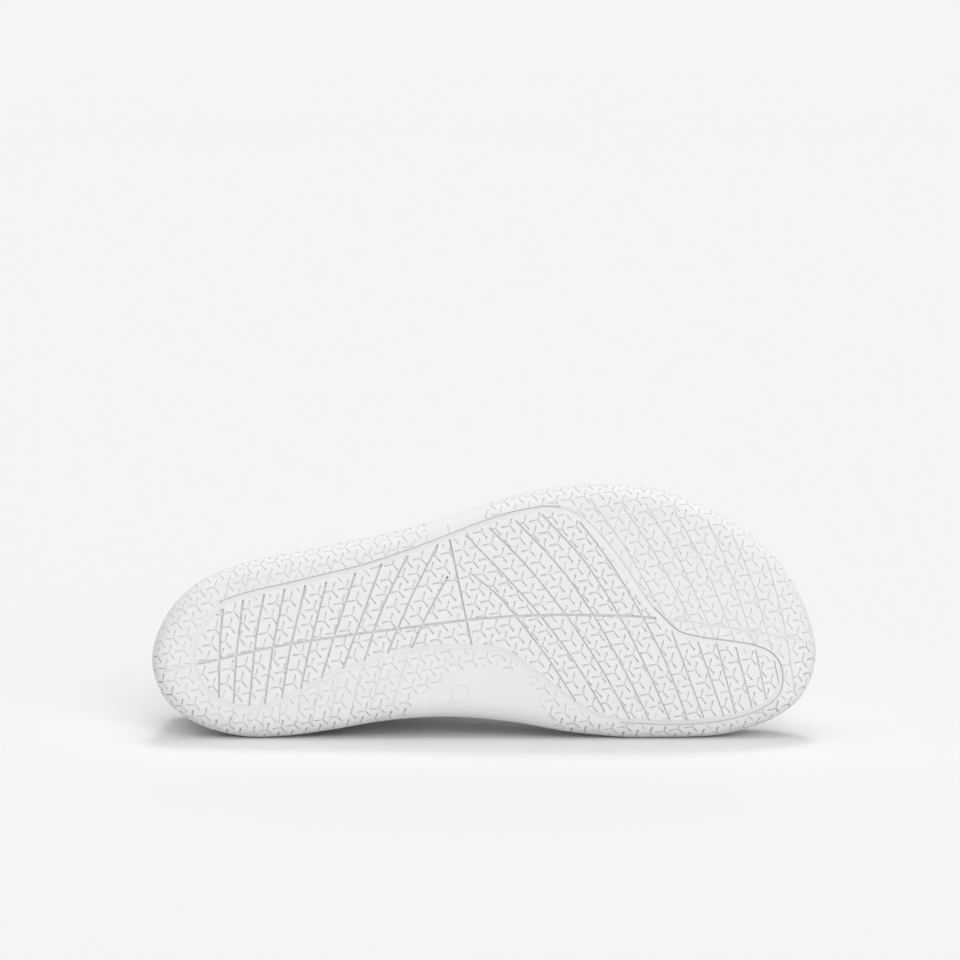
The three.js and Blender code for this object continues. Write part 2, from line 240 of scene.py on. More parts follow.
def stationsOf(perSide):  # the outline's edge points, each with the centre point that it faces
    last = lastSizes
    rows = [(r[0], r[1]) for r in outlineRows] + [(r[0], r[2]) for r in reversed(outlineRows[1:-1])]
    edge = roundCurve(np.array(rows) * shareScale, 2 * perSide)
    centre = np.empty_like(edge)
    for i in range(2 * perSide):
        side = i if i <= perSide else 2 * perSide - i
        at = (edge[side][0] + edge[-side % (2 * perSide)][0]) / 2 / last["length"]
        at = min(max(at, last["heelCentre"]), last["toeCentre"])
        across = (smoothAlong(outlineRows, 1, at) + smoothAlong(outlineRows, 2, at)) / 2
        centre[i] = at * last["length"], across * last["breadth"]
    return edge, centre


soleEdge, soleCentre = stationsOf(lastSizes["stationsPerSide"])
soleReach = np.linalg.norm(soleCentre - soleEdge, axis=1)
soleInward = (soleCentre - soleEdge) / soleReach[:, None]
soleRim = np.array([rimHeight(s) for s in soleEdge[:, 0]])
bedEdge = lastSizes["rimLip"] + lastSizes["rimWall"] + lastSizes["bedRadius"]


def ringAt(inset, height, overTread):  # one ring of points round the sole
    inset = np.minimum(np.broadcast_to(inset, soleReach.shape), soleReach)
    place = soleEdge + soleInward * inset[:, None]
    ground = groundHeight(place[:, 0], place[:, 1]) if overTread else 0
    return np.column_stack([place, ground + height])


def ringFaces(rings, size, closed=False, gap=0):  # closed joins the last ring to the first one
    faces = []
    for k in range(rings if closed else rings - 1):
        n = (k + 1) % rings
        for i in range(size - gap):
            j = (i + 1) % size
            faces.append((k * size + i, k * size + j, n * size + j, n * size + i))
    return faces


def ringObject(name, rings):  # a closed body from rings that end on the centre line
    made = meshObject(name, np.concatenate(rings), ringFaces(len(rings), len(soleEdge)))
    return turnedOut(made, 1e-7, 1e-8)


def soleBlank():  # the outsole before its tread is cut
    last = lastSizes
    radius, lip, turn, inner = (
        last[name] for name in ("edgeRadius", "rimLip", "rimRound", "innerRound"))
    shares = (1, 0.8, 0.6, 0.4, 0.2, 0.08)
    rings = [ringAt(radius + (soleReach - radius) * share, 0, True) for share in shares]
    for angle in np.radians(np.linspace(0, 90, 15)):
        rings.append(ringAt(radius * (1 - math.sin(angle)), radius * (1 - math.cos(angle)), True))
    wallFoot = groundHeight(soleEdge[:, 0], soleEdge[:, 1]) + radius
    wallTop = soleRim - turn
    lineHeight = soleRim - last["wallLine"]
    wallRows = [((wallFoot + lineHeight) / 2, 0)]
    wallRows += [(lineHeight - drop, share) for drop, share in wallLineRows]
    wallRows.append((wallTop, 0))
    for height, share in wallRows:
        inset = lip / 2 * ((height - wallFoot) / (wallTop - wallFoot)) ** 2
        rings.append(ringAt(inset + last["wallLineDepth"] * share, height, False))
    for angle in np.radians((20, 45, 70, 90)):
        inset = lip / 2 + turn * (1 - math.cos(angle))
        rings.append(ringAt(inset, wallTop + turn * math.sin(angle), False))
    for angle in np.radians((0, 30, 60, 90)):
        inset = lip + last["rimWall"] - inner * (1 - math.sin(angle))
        rings.append(ringAt(inset, soleRim - inner * (1 - math.cos(angle)), False))
    for angle in np.radians((90, 60, 30, 0)):
        height = last["plate"] + last["bedRadius"] * (1 - math.cos(angle))
        rings.append(ringAt(bedEdge - last["bedRadius"] * math.sin(angle), height, True))
    for share in (0.5, 1):
        rings.append(ringAt(bedEdge + (soleReach - bedEdge) * share, last["plate"], True))
    return ringObject("rubber_sole", rings)


def finderOf(places):
    finder = KDTree(len(places))
    for number, (s, t) in enumerate(places):
        finder.insert((s, t, 0), number)
    finder.balance()
    return finder


def nearestOf(finder, places):  # each flat place's nearest point, by its number, and how far it is
    found = [finder.find((s, t, 0)) for s, t in places]
    return np.array([f[1] for f in found]), np.array([f[2] for f in found])


print("sole blank")
blank = soleBlank()
blankTree = BVHTree.FromPolygons(
    [v.co for v in blank.data.vertices], [tuple(p.vertices) for p in blank.data.polygons])

edgeFine = evenly(soleEdge, 0.25, True)
edgeAlong = unit(np.roll(edgeFine, -1, axis=0) - np.roll(edgeFine, 1, axis=0))
edgeInward = np.column_stack([edgeAlong[:, 1], -edgeAlong[:, 0]])
if np.sum(edgeInward[0] * (soleCentre[0] - soleEdge[0])) < 0:
    edgeInward = -edgeInward
edgeFinder = finderOf(edgeFine)


def insetOf(places):  # how far in from the outline each place lies, and the outline's nearest point
    nearest = nearestOf(edgeFinder, places)[0]
    return np.sum((places - edgeFine[nearest]) * edgeInward[nearest], axis=1), nearest


def ontoTread(places):  # points and normals of flat tread places, rolled over the sole's edge
    radius = lastSizes["edgeRadius"]
    places = np.asarray(places, float)
    inset, nearest = insetOf(places)
    angle = np.clip((radius - inset) / radius, 0, math.pi / 2)
    rolled = edgeFine[nearest] + edgeInward[nearest] * (radius * (1 - np.sin(angle)))[:, None]
    flat = np.where((inset > radius)[:, None], places, rolled)
    rise = np.where(inset > radius, 0, radius * (1 - np.cos(angle)))
    height = groundHeight(flat[:, 0], flat[:, 1]) + rise
    found = [blankTree.find_nearest(p)[:2] for p in toFrame(np.column_stack([flat, height]))]
    return np.array([f[0] for f in found]), np.array([f[1] for f in found])


# The ring groove: at and across from the lateral heel to the toe and back along the medial side
loopRows = [
    (0.103, 0.53), (0.142, 0.569), (0.204, 0.607), (0.27, 0.648), (0.328, 0.687), (0.414, 0.765),
    (0.517, 0.867), (0.555, 0.894), (0.591, 0.908), (0.615, 0.903), (0.633, 0.887), (0.658, 0.842),
    (0.688, 0.756), (0.717, 0.652), (0.732, 0.589), (0.75, 0.523), (0.769, 0.472), (0.791, 0.421),
    (0.823, 0.397), (0.877, 0.378), (0.905, 0.364), (0.928, 0.339), (0.943, 0.297), (0.948, 0.241),
    (0.943, 0.174), (0.925, 0.127), (0.892, 0.088), (0.845, 0.061), (0.79, 0.05), (0.736, 0.055),
    (0.69, 0.064), (0.66, 0.086), (0.643, 0.112), (0.609, 0.178), (0.582, 0.234), (0.56, 0.275),
    (0.54, 0.313), (0.523, 0.334), (0.497, 0.346), (0.463, 0.35), (0.43, 0.346), (0.397, 0.338),
    (0.355, 0.319), (0.313, 0.281), (0.276, 0.243), (0.238, 0.194), (0.204, 0.148), (0.177, 0.121),
    (0.145, 0.112), (0.114, 0.127), (0.09, 0.162), (0.074, 0.205), (0.064, 0.264), (0.0605, 0.339),
    (0.066, 0.401), (0.077, 0.45), (0.091, 0.495),
]

middleRows = [
    (0.02, 0.262), (0.066, 0.288), (0.1, 0.307), (0.183, 0.356), (0.276, 0.396), (0.369, 0.428),
    (0.465, 0.46), (0.547, 0.478), (0.619, 0.483), (0.667, 0.481), (0.718, 0.478), (0.762, 0.468),
    (0.826, 0.449), (0.907, 0.413), (0.951, 0.393), (0.994, 0.374),
]

# The flex lines inside the ring, each through its pairs of at and across
heelRows = [
    (0.109, 0.507, 0.1044, 0.372, 0.1026, 0.145),
    (0.139, 0.542, 0.129, 0.325, 0.1246, 0.137),
    (0.1705, 0.564, 0.1588, 0.401, 0.1478, 0.128),
    (0.201, 0.583, 0.183, 0.348, 0.171, 0.133),
    (0.232, 0.599, 0.209, 0.3425, 0.1965, 0.155),
    (0.2635, 0.611, 0.238, 0.348, 0.2253, 0.194),
    (0.307, 0.646, 0.2755, 0.401, 0.255, 0.225),
    (0.346, 0.682, 0.307, 0.407, 0.2865, 0.2615),
    (0.3843, 0.7125, 0.346, 0.501, 0.319, 0.2955),
    (0.4305, 0.758, 0.39, 0.548, 0.354, 0.328),
    (0.4445, 0.6295, 0.412, 0.472, 0.39, 0.346),
    (0.448, 0.777, 0.4645, 0.57, 0.481, 0.364),
]

forefootRows = [
    (0.48, 0.6445, 0.519, 0.561, 0.553, 0.457, 0.596, 0.309, 0.636, 0.147),
    (0.472, 0.793, 0.521, 0.662, 0.583, 0.482, 0.633, 0.306, 0.68, 0.105),
    (0.507, 0.824, 0.562, 0.677, 0.62, 0.488, 0.673, 0.281, 0.717, 0.076),
    (0.547, 0.851, 0.611, 0.6725, 0.663, 0.482, 0.712, 0.253, 0.747, 0.068),
    (0.586, 0.875, 0.6475, 0.699, 0.701, 0.482, 0.7376, 0.3006, 0.778, 0.068),
    (0.6425, 0.847, 0.684, 0.703, 0.7355, 0.48, 0.771, 0.298, 0.8046, 0.0685),
    (0.78, 0.421, 0.828, 0.08),
    (0.819, 0.378, 0.858, 0.088),
    (0.847, 0.374, 0.876, 0.092),
    (0.876, 0.358, 0.901, 0.117),
    (0.906, 0.346, 0.922, 0.151),
    (0.934, 0.307, 0.942, 0.207),
]

# The faint flex lines outside the ring
outerRows = [
    (0.658, 0.938, 0.709, 0.75, 0.772, 0.468),
    (0.706, 0.91, 0.756, 0.718, 0.821, 0.399),
    (0.741, 0.918, 0.792, 0.693, 0.8435, 0.396),
    (0.783, 0.897, 0.831, 0.662, 0.876, 0.375),
    (0.833, 0.858, 0.865, 0.667, 0.903, 0.372),
    (0.873, 0.786, 0.901, 0.609, 0.931, 0.342),
    (0.9216, 0.714, 0.948, 0.46, 0.9665, 0.171),
    (0.102, 0.127, 0.103, 0.084),
    (0.124, 0.102, 0.1246, 0.055),
    (0.146, 0.102, 0.146, 0.058),
    (0.1685, 0.099, 0.1685, 0.031),
    (0.1943, 0.131, 0.1925, 0.061),
    (0.2235, 0.172, 0.219, 0.058),
    (0.2523, 0.2016, 0.2415, 0.058),
    (0.282, 0.237, 0.2674, 0.061),
    (0.3146, 0.266, 0.299, 0.096),
    (0.3495, 0.301, 0.329, 0.1135),
    (0.3843, 0.319, 0.362, 0.125),
    (0.112, 0.532, 0.115, 0.607),
    (0.1426, 0.5775, 0.147, 0.642),
    (0.175, 0.595, 0.1786, 0.642),
    (0.2056, 0.61, 0.2123, 0.683),
    (0.237, 0.63, 0.2454, 0.698),
    (0.2685, 0.646, 0.2764, 0.701),
    (0.3146, 0.68, 0.3225, 0.724),
    (0.354, 0.7125, 0.3607, 0.765),
    (0.392, 0.758, 0.397, 0.775),
    (0.448, 0.798, 0.444, 0.836),
]

# Sections are points of across the path and into the tread, and places are at and across
grooveSizes = {
    "flexWidth": 0.78,
    "flexDepth": 1.3,
    "foreDepth": 0.9,
    "outerWidth": 0.6,
    "outerDepth": 0.45,
    "outerSpare": 0.1,
    "middleWidth": 1.0,
    "middleDepth": 1.2,
    "loopWall": 0.2,
    "loopBank": 2.1,
    "loopSection": [
        (0.36, -1.5), (0.2, 0.05), (0.08, 0.7), (-0.2, 0.7), (-2.1, 0.02), (-3.6, -1.5)],
    "lineSpare": -0.6,
    "lineWidth": 0.6,
    "lineDepth": 1.2,
    "linePlaces": [(0.625, 0.92), (0.752, 0.497), (0.7, 0.06)],
    "holePlace": (0.4445, 0.6295),
    "holeWidth": 0.85,
    "holeDepth": 1.9,
    "step": 1.6,
    "fineStep": 0.2,
    "shortest": 8,
    "above": 1.5,
}

archRingSizes = {
    "place": (0.464, 0.178),
    "radius": 3.5,
    "section": [
        (-0.455, 0.4), (-0.35, -0.15), (-0.175, -0.3), (0.175, -0.3), (0.35, -0.15), (0.455, 0.4)],
}


def grooveCutter(path, section, closed=False):
    along = np.roll(path, -1, axis=0) - np.roll(path, 1, axis=0)
    if not closed:
        along[0], along[-1] = path[1] - path[0], path[-1] - path[-2]
    along = unit(along)
    side = np.column_stack([-along[:, 1], along[:, 0]])
    rows = []
    for across, depth in section:
        points, normals = ontoTread(path + side * across)
        rows.append(points - normals * depth * mm)
    points = np.stack(rows, axis=1)
    count, size = points.shape[:2]
    faces = ringFaces(count, size, closed)
    if not closed:
        faces.append(tuple(range(size))[::-1])
        faces.append(tuple((count - 1) * size + j for j in range(size)))
    return points.reshape(-1, 3), faces


def finishedMesh(target):  # the mesh that its modifiers make
    graph = bpy.context.evaluated_depsgraph_get()
    return bpy.data.meshes.new_from_object(target.evaluated_get(graph))


def cutBy(target, name, parts, operation="DIFFERENCE"):  # each part is its points and its faces
    points, faces = [], []
    for partPoints, partFaces in parts:
        shift = sum(len(p) for p in points)
        points.append(partPoints)
        faces += [tuple(i + shift for i in face) for face in partFaces]
    cutter = frameObject(name, np.concatenate(points), faces)
    bm = bmesh.new()
    bm.from_mesh(cutter.data)
    bmesh.ops.triangulate(bm, faces=bm.faces)
    bm.to_mesh(cutter.data)
    bm.free()
    turnedOut(cutter)
    cut = target.modifiers.new("cut", "BOOLEAN")
    cut.operation = operation
    cut.solver = "MANIFOLD"
    cut.object = cutter
    bpy.context.view_layer.update()
    made = finishedMesh(target)
    target.modifiers.clear()
    old = target.data
    target.data = made
    bpy.data.meshes.remove(old)
    bpy.data.objects.remove(cutter)


def boxSection(width, depth):
    above, top, foot = grooveSizes["above"], width * 0.6, width * 0.36
    return [(top, -above), (foot, depth), (-foot, depth), (-top, -above)]


def linePath(row):
    line = np.array(row).reshape(-1, 2) * shareScale
    return evenly(roundCurve(line, 160, closed=False), grooveSizes["step"])


def insidePolygon(places, polygon):
    polygon = np.asarray(polygon, float)
    inside = np.zeros(len(places), bool)
    for (x1, y1), (x2, y2) in zip(polygon, np.roll(polygon, -1, axis=0)):
        crosses = (y1 > places[:, 1]) != (y2 > places[:, 1])
        border = (x2 - x1) * (places[:, 1] - y1) / (y2 - y1 + 1e-12) + x1
        inside ^= crosses & (places[:, 0] < border)
    return inside


loopPath = evenly(roundCurve(np.array(loopRows) * shareScale, 600), grooveSizes["step"], True)
loopFine = evenly(loopPath, 0.4, True)
loopFinder = finderOf(loopFine)


def offRing(places, spare):  # whether flat places keep clear of the ring groove and its smooth band
    away, inside = nearestOf(loopFinder, places)[1], insidePolygon(places, loopFine)
    return away > spare + np.where(inside, grooveSizes["loopBank"], grooveSizes["loopWall"])


def clearRuns(path, spare):  # the stretches of a path that keep clear of the ring groove
    sizes = grooveSizes
    fine = evenly(path, sizes["fineStep"])
    clear = np.concatenate([[False], offRing(fine, spare), [False]])
    starts, ends = np.flatnonzero(clear[1:] & ~clear[:-1]), np.flatnonzero(~clear[1:] & clear[:-1])
    runs = [fine[a:b] for a, b in zip(starts, ends) if b - a > sizes["shortest"]]
    return [evenly(run, sizes["step"]) for run in runs]


def lineCutters(rows, width, depth, spare):
    section = boxSection(width, depth)
    return [grooveCutter(run, section) for row in rows for run in clearRuns(linePath(row), spare)]


def cutFlexLines(sole):
    sizes = grooveSizes
    heel = lineCutters(heelRows, sizes["flexWidth"], sizes["flexDepth"], sizes["lineSpare"])
    fore = lineCutters(forefootRows, sizes["flexWidth"], sizes["foreDepth"], sizes["lineSpare"])
    cutBy(sole, "cross_lines", heel + fore)
    cutBy(sole, "outer_lines", lineCutters(
        outerRows, sizes["outerWidth"], sizes["outerDepth"], sizes["outerSpare"]))
    middle = []
    for run in clearRuns(linePath(middleRows), sizes["outerSpare"]):
        within = insidePolygon(run[len(run) // 2][None], loopFine)[0]
        depth = sizes["middleDepth"] if within else sizes["outerDepth"]
        middle.append(grooveCutter(run, boxSection(sizes["middleWidth"], depth)))
    cutBy(sole, "middle_line", middle)
    cutBy(sole, "ring_groove", [grooveCutter(loopPath, sizes["loopSection"], True)])
    width = sizes["holeWidth"]
    hole = np.array(sizes["holePlace"]) * shareScale + np.outer((-0.5, 0.5), (0, width))
    cutBy(sole, "vent_hole", [grooveCutter(hole, boxSection(width, sizes["holeDepth"]))])
    line = boxSection(sizes["lineWidth"], sizes["lineDepth"])
    places = np.array(sizes["linePlaces"]) * shareScale
    gapStart, gapEnd, last = (
        np.argmin(np.linalg.norm(loopPath - place, axis=1)) for place in places)
    runs = loopPath[:gapStart], loopPath[gapEnd:last]
    cutBy(sole, "ring_line", [grooveCutter(run, line) for run in runs])


def raiseArchRing(sole):  # the plain raised ring on the arch
    turn = np.linspace(0, 2 * math.pi, 48, endpoint=False)
    circle = np.column_stack([np.cos(turn), np.sin(turn)])
    path = np.array(archRingSizes["place"]) * shareScale + archRingSizes["radius"] * circle
    cutBy(sole, "arch_ring", [grooveCutter(path, archRingSizes["section"], True)], "UNION")


# The tread's little three-armed cuts, on a slanted lattice
treadSizes = {
    "anchor": (150.2, 68.2),
    "rowStep": (5.438, 1.133),
    "slantStep": (3.829, -4.642),
    "latticeReach": 45,
    "margin": 8,
    "armLength": 3.2,
    "armSteps": 9,
    "shortestArm": 0.45,
    "armWidth": 0.6,
    "topHalf": 0.56,
    "footHalf": 0.3,
    "thinnest": 0.4,
    "heaviest": 1.1,
    "depth": 0.5,
    "tipShare": 0.6,
    "outerShare": 0.66,
    "edgeShare": 0.75,
    "above": 1.2,
    "ringSpare": 0.25,
    "lineSpare": 0.34,
    "lowerEdge": 0.75,
    "lowerPart": 0.36,
    "rollLimit": 80.0,
}

# Smooth places without tread, each a short outline of at and across
smoothPlaces = [
    [(0.394, 0.151), (0.439, 0.225), (0.45, 0.268), (0.516, 0.28), (0.558, 0.26), (0.568, 0.217),
     (0.583, 0.143), (0.598, 0.08), (0.62, -0.1), (0.36, -0.1)],
    [(0.385, 1.2), (0.418, 0.75), (0.5, 0.85), (0.53, 1.2)],
]

allRows = [*heelRows, *forefootRows, *outerRows, np.array(middleRows).ravel()]
lineFinder = finderOf(np.concatenate([evenly(linePath(row), 0.3) for row in allRows]))


def treadAllowed(places):
    sizes, radius = treadSizes, lastSizes["edgeRadius"]
    allowed = insetOf(places)[0] > radius * (1 - math.radians(sizes["rollLimit"]))
    allowed &= offRing(places, sizes["ringSpare"])
    allowed &= nearestOf(lineFinder, places)[1] > sizes["lineSpare"]
    for polygon in smoothPlaces:
        allowed &= ~insidePolygon(places, np.array(polygon) * shareScale)
    return allowed


def starOutline(centre, ways, lengths, half):  # a three-armed outline, anticlockwise
    outline = []
    for k in range(3):
        way, nextWay = ways[k], ways[(k + 1) % 3]
        side = np.array([-way[1], way[0]]) * half * 1.25
        tip = centre + way * lengths[k]
        angle = math.acos(np.clip(np.dot(way, nextWay), -1, 1)) / 2
        outline += [tip - side, tip + way * half, tip + side]
        outline.append(centre + unit(way + nextWay) * half / math.sin(angle))
    return outline


def barOutline(start, end, half):
    way = unit(end - start) * half
    side = np.array([-way[1], way[0]])
    return [start - side, end - side, end + way * 0.6, end + side, start + side]


def treadOutlines():  # each cut's weight, middle and outlines at the surface and at the bottom
    sizes, margin, reach = treadSizes, treadSizes["margin"], treadSizes["latticeReach"]
    a, b = np.array(sizes["rowStep"]), np.array(sizes["slantStep"])
    ways = sorted((unit(way) for way in (-a, b, a - b)), key=lambda way: math.atan2(way[1], way[0]))
    span = range(-reach, reach)
    lattice = [sizes["anchor"] + i * a + j * b for i in span for j in span]
    centres = np.array([c for c in lattice if np.all((c > -margin) & (c < shareScale + margin))])
    shares = np.linspace(0, 1, sizes["armSteps"])
    runs = (shares * sizes["armLength"])[None, :, None]
    arms = np.stack([centres[:, None] + way * runs for way in ways], axis=1)
    allowed = treadAllowed(arms.reshape(-1, 2)).reshape(arms.shape[:3])
    inset = insetOf(centres)[0]
    edge, thinnest = sizes["edgeShare"], sizes["thinnest"]
    shallow = sizes["outerShare"] * (edge + (1 - edge) * smoothStep(inset, -3, 8))
    lowerLimit = lastSizes["breadth"] * sizes["lowerPart"]
    lower = (1 - smoothStep(inset, 2, 8)) * (centres[:, 1] < lowerLimit)
    weights = np.where(insidePolygon(centres, loopFine), 1, shallow + lower * sizes["lowerEdge"])
    outlines = []
    for centre, weight, armPlaces, free in zip(centres, weights, arms, allowed):
        width = sizes["armWidth"] * (thinnest + (1 - thinnest) * min(weight, sizes["heaviest"]))
        halves = [width * sizes[name] for name in ("topHalf", "footHalf")]
        if free[0][0]:
            ends = [len(arm) if arm.all() else int(np.argmin(arm)) for arm in free]
            lengths = [
                max(shares[end - 1] * sizes["armLength"], sizes["shortestArm"]) for end in ends]
            pair = [starOutline(centre, ways, lengths, half) for half in halves]
            outlines.append((weight, centre, *pair))
            continue
        for arm, places in zip(free, armPlaces):
            kept = np.flatnonzero(arm)
            if len(kept) > 2 and kept[-1] - kept[0] == len(kept) - 1:
                start, end = places[kept[0]], places[kept[-1]]
                pair = [barOutline(start, end, half) for half in halves]
                outlines.append((weight, (start + end) / 2, *pair))
    return outlines


def cutTread(sole):
    outlines = treadOutlines()
    flat = []
    for weight, centre, top, foot in outlines:
        flat += [*top, centre, *foot, centre]
    points, normals = ontoTread(flat)
    faces, start = [], 0
    for weight, centre, top, foot in outlines:
        size = len(top)
        middle = start + size + 1
        upper, lower = slice(start, middle), slice(middle, middle + size + 1)
        deeper = np.zeros(size + 1)
        if size > 5:  # three arms with deeper tips, where every fourth point is between two arms
            deeper[:size] = [0 if j % 4 == 3 else treadSizes["tipShare"] for j in range(size)]
        points[upper] += normals[upper] * treadSizes["above"] * mm
        points[lower] -= normals[lower] * (1 + deeper[:, None]) * treadSizes["depth"] * weight * mm
        for j in range(size):
            k = (j + 1) % size
            faces += [(start + j, start + k, start + size), (middle + k, middle + j, middle + size)]
            faces += [(start + k, start + j, middle + j), (start + k, middle + j, middle + k)]
        start = middle + size + 1
    cutBy(sole, "tread_cuts", [(points, faces)])
    print("tread cuts", len(outlines))


cutFlexLines(blank)
print("flex lines")
cutTread(blank)
raiseArchRing(blank)
blank.data.shade_smooth()
blank.data.set_sharp_from_angle(angle=math.radians(lastSizes["sharpAngle"]))
print("sole faces", len(blank.data.polygons), sum(len(p.vertices) - 2 for p in blank.data.polygons))


def setInputs(tree, node, inputs):  # links the sockets that are given and sets the plain values
    for name, value in inputs.items():
        if isinstance(value, bpy.types.NodeSocket):
            tree.links.new(value, node.inputs[name])
        else:
            node.inputs[name].default_value = value
    return node


def addNode(tree, kind, inputs):
    return setInputs(tree, tree.nodes.new(kind), inputs)


def mathNode(tree, operation, *values):
    made = tree.nodes.new("ShaderNodeMath")
    made.operation = operation
    return setInputs(tree, made, dict(enumerate(values))).outputs[0]


def tintNode(tree, factor, stops):  # a colour ramp through two stops
    made = addNode(tree, "ShaderNodeValToRGB", {"Fac": factor})
    for element, (place, color) in zip(made.color_ramp.elements, stops):
        element.position = place
        element.color = (*color, 1)
    return made


def newMaterial(name):
    made = bpy.data.materials.new(name)
    made.use_nodes = True
    return made, made.node_tree, made.node_tree.nodes["Principled BSDF"]


def grainMaterial(name, looks):  # a smooth finish with a fine grain and a slow change of tone
    made, tree, shader = newMaterial(name)
    place = tree.nodes.new("ShaderNodeTexCoord").outputs["Object"]
    cloud, grain = (
        addNode(tree, "ShaderNodeTexNoise", {"Vector": place, "Scale": scale, "Detail": detail})
        for scale, detail in ((looks["cloudScale"], 4), (looks["grainScale"], 3)))
    tint = tintNode(tree, cloud.outputs["Fac"], ((0.3, looks["shade"]), (0.65, looks["color"])))
    bump = addNode(tree, "ShaderNodeBump", {
        "Strength": looks["grainBump"], "Distance": 0.1 * mm, "Height": grain.outputs["Fac"]})
    setInputs(tree, shader, {
        "Base Color": tint.outputs["Color"], "Normal": bump.outputs["Normal"],
        "Roughness": looks["roughness"], "Sheen Weight": looks["sheen"]})
    return made


rubberLooks = {
    "color": (0.84, 0.84, 0.83),
    "shade": (0.79, 0.79, 0.78),
    "cloudScale": 35,
    "grainScale": 1800,
    "grainBump": 0.12,
    "roughness": 0.42,
    "sheen": 0.0,
}

blank.data.materials.append(grainMaterial("white_rubber", rubberLooks))
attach(blank, "root")
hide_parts("outsole")

# The hidden pieces: the upper, its cuff and heel counter, and the insole
upperSizes = {
    "edge": 4.1,
    "gap": 0.3,
    "wall": 2.0,
    "footThick": 1.2,
    "bulge": 2.0,
    "heelTop": 64.0,
    "dip": 51.0,
    "instep": 74.0,
    "toeBox": 41.0,
    "collarFront": 0.46,
    "collarEnd": 0.52,
    "topRound": 0.8,
    "rows": 40,
}

# at, and what the ridge rises over the toe box as a share of the instep's rise
ridgeRows = [
    (0.13, 1.85), (0.25, 1.85), (0.36, 1.68), (0.44, 1.3), (0.5, 1),
    (0.58, 0.64), (0.66, 0.33), (0.74, 0.09), (0.81, 0),
]

# at, and the collar's height as shares of the heel's, the dip's and the instep's
collarRows = [
    (-0.1, 1, 0, 0), (0, 1, 0, 0), (0.06, 0.75, 0.25, 0), (0.15, 0.2, 0.8, 0), (0.23, 0, 1, 0),
    (0.31, 0, 0.88, 0.12), (0.39, 0, 0.38, 0.62),
]

# Soft creases over the toes' joints: at, depth, half width, skew over the breadth
creaseRows = [
    (0.655, 1.3, 3.8, -9),
    (0.692, 0.9, 3.0, -12),
    (0.728, 1.15, 4.0, -15),
    (0.51, 0.8, 5.0, 6),
]

creaseSizes = {
    "unevenness": 0.12,
    "waves": (17, 29, 13, 41),
    "middle": 0.47,
    "bow": 10,
    "raised": (20, 38),
    "lip": 0.45,
    "lipPlace": 2,
    "lipWidth": 1.2,
}


def ridgeHeight(s):
    rise = smoothAlong(ridgeRows, 1, s / lastSizes["length"])
    return upperSizes["toeBox"] + (upperSizes["instep"] - upperSizes["toeBox"]) * rise


def evenSpline(points, steps):  # uniform Catmull-Rom, open
    ends = np.array([points[0], *points, points[-1]], float)
    made = []
    for place in np.linspace(0, len(points) - 1, steps):
        i = min(int(place), len(points) - 2)
        p0, p1, p2, p3 = ends[i:i + 4]
        made.append(cubicBetween(p1, p2, (p2 - p0) / 2, (p3 - p1) / 2, place - i))
    return np.array(made)


def collarLine():
    sizes, length = upperSizes, lastSizes["length"]
    heights = np.array([sizes["heelTop"], sizes["dip"], sizes["instep"]])
    rows = [(at * length, heights @ shares + (at <= 0)) for at, *shares in collarRows]
    front = sizes["collarFront"] * length
    rows.append((front, ridgeHeight(front)))
    rows.append((sizes["collarEnd"] * length, rows[-1][1] + 0.9 * (sizes["instep"] - sizes["dip"])))
    return evenSpline(rows, 600)


def lowered(line, depth):  # a side view's line moved down and forward
    along = unit(np.gradient(line, axis=0))
    return np.column_stack([line[:, 0] + along[:, 1] * depth, line[:, 1] - along[:, 0] * depth])


ridge = np.array([ridgeHeight(s) for s in soleCentre[:, 0]])


def crownPoint(chosen, angle, lift=0.0):  # places on the upper, by station and by angle up the side
    foot = upperSizes["edge"] - lift
    top = ridge[chosen] + lift
    rim, reach = soleRim[chosen], soleReach[chosen]
    swell = upperSizes["bulge"] * np.sin(2 * angle) * np.cos(angle)
    inward = np.minimum(foot + (reach - foot) * (1 - np.cos(angle)) - swell, reach)
    flat = soleEdge[chosen] + soleInward[chosen] * inward[..., None]
    return np.concatenate([flat, (rim + (top - rim) * np.sin(angle))[..., None]], axis=-1)


allStations = np.arange(len(soleEdge))
halfWay = len(allStations) // 2
rightAngle = math.pi / 2


def angleAt(line, chosen=allStations):  # where the upper's side crosses a side view's line
    angles = np.linspace(0, rightAngle, 500)
    points = crownPoint(np.repeat(chosen[:, None], 500, 1), np.repeat(angles[None], len(chosen), 0))
    over = points[..., 2] - np.interp(points[..., 0], line[:, 0], line[:, 1])
    found = np.full(len(chosen), rightAngle)
    for row, heights in enumerate(over):
        above = np.flatnonzero(heights > 0)
        if len(above):
            k = max(above[0], 1)
            share = heights[k - 1] / (heights[k - 1] - heights[k]) if above[0] else 0
            found[row] = angles[k - 1] + (angles[k] - angles[k - 1]) * share
    return found


collar = collarLine()
collarAngle = angleAt(collar)
collarCut = collarAngle < rightAngle - 1e-6


def creaseDepth(points):  # how far the knit sinks at its soft creases
    sizes = creaseSizes
    s, t = points[..., 0], points[..., 1]
    a, b, c, d = sizes["waves"]
    across = t / lastSizes["breadth"] - sizes["middle"]
    depth = sizes["unevenness"] * np.sin(s / a + t / b) * np.sin(t / c - s / d)
    for at, deep, half, skew in creaseRows:
        x = (s - at * lastSizes["length"] - skew * across - sizes["bow"] * across ** 2) / half
        lip = np.exp(-((x - sizes["lipPlace"]) / sizes["lipWidth"]) ** 2)
        depth = depth + deep * (np.exp(-x ** 2) - sizes["lip"] * lip)
    return depth * smoothStep(points[..., 2], *sizes["raised"])


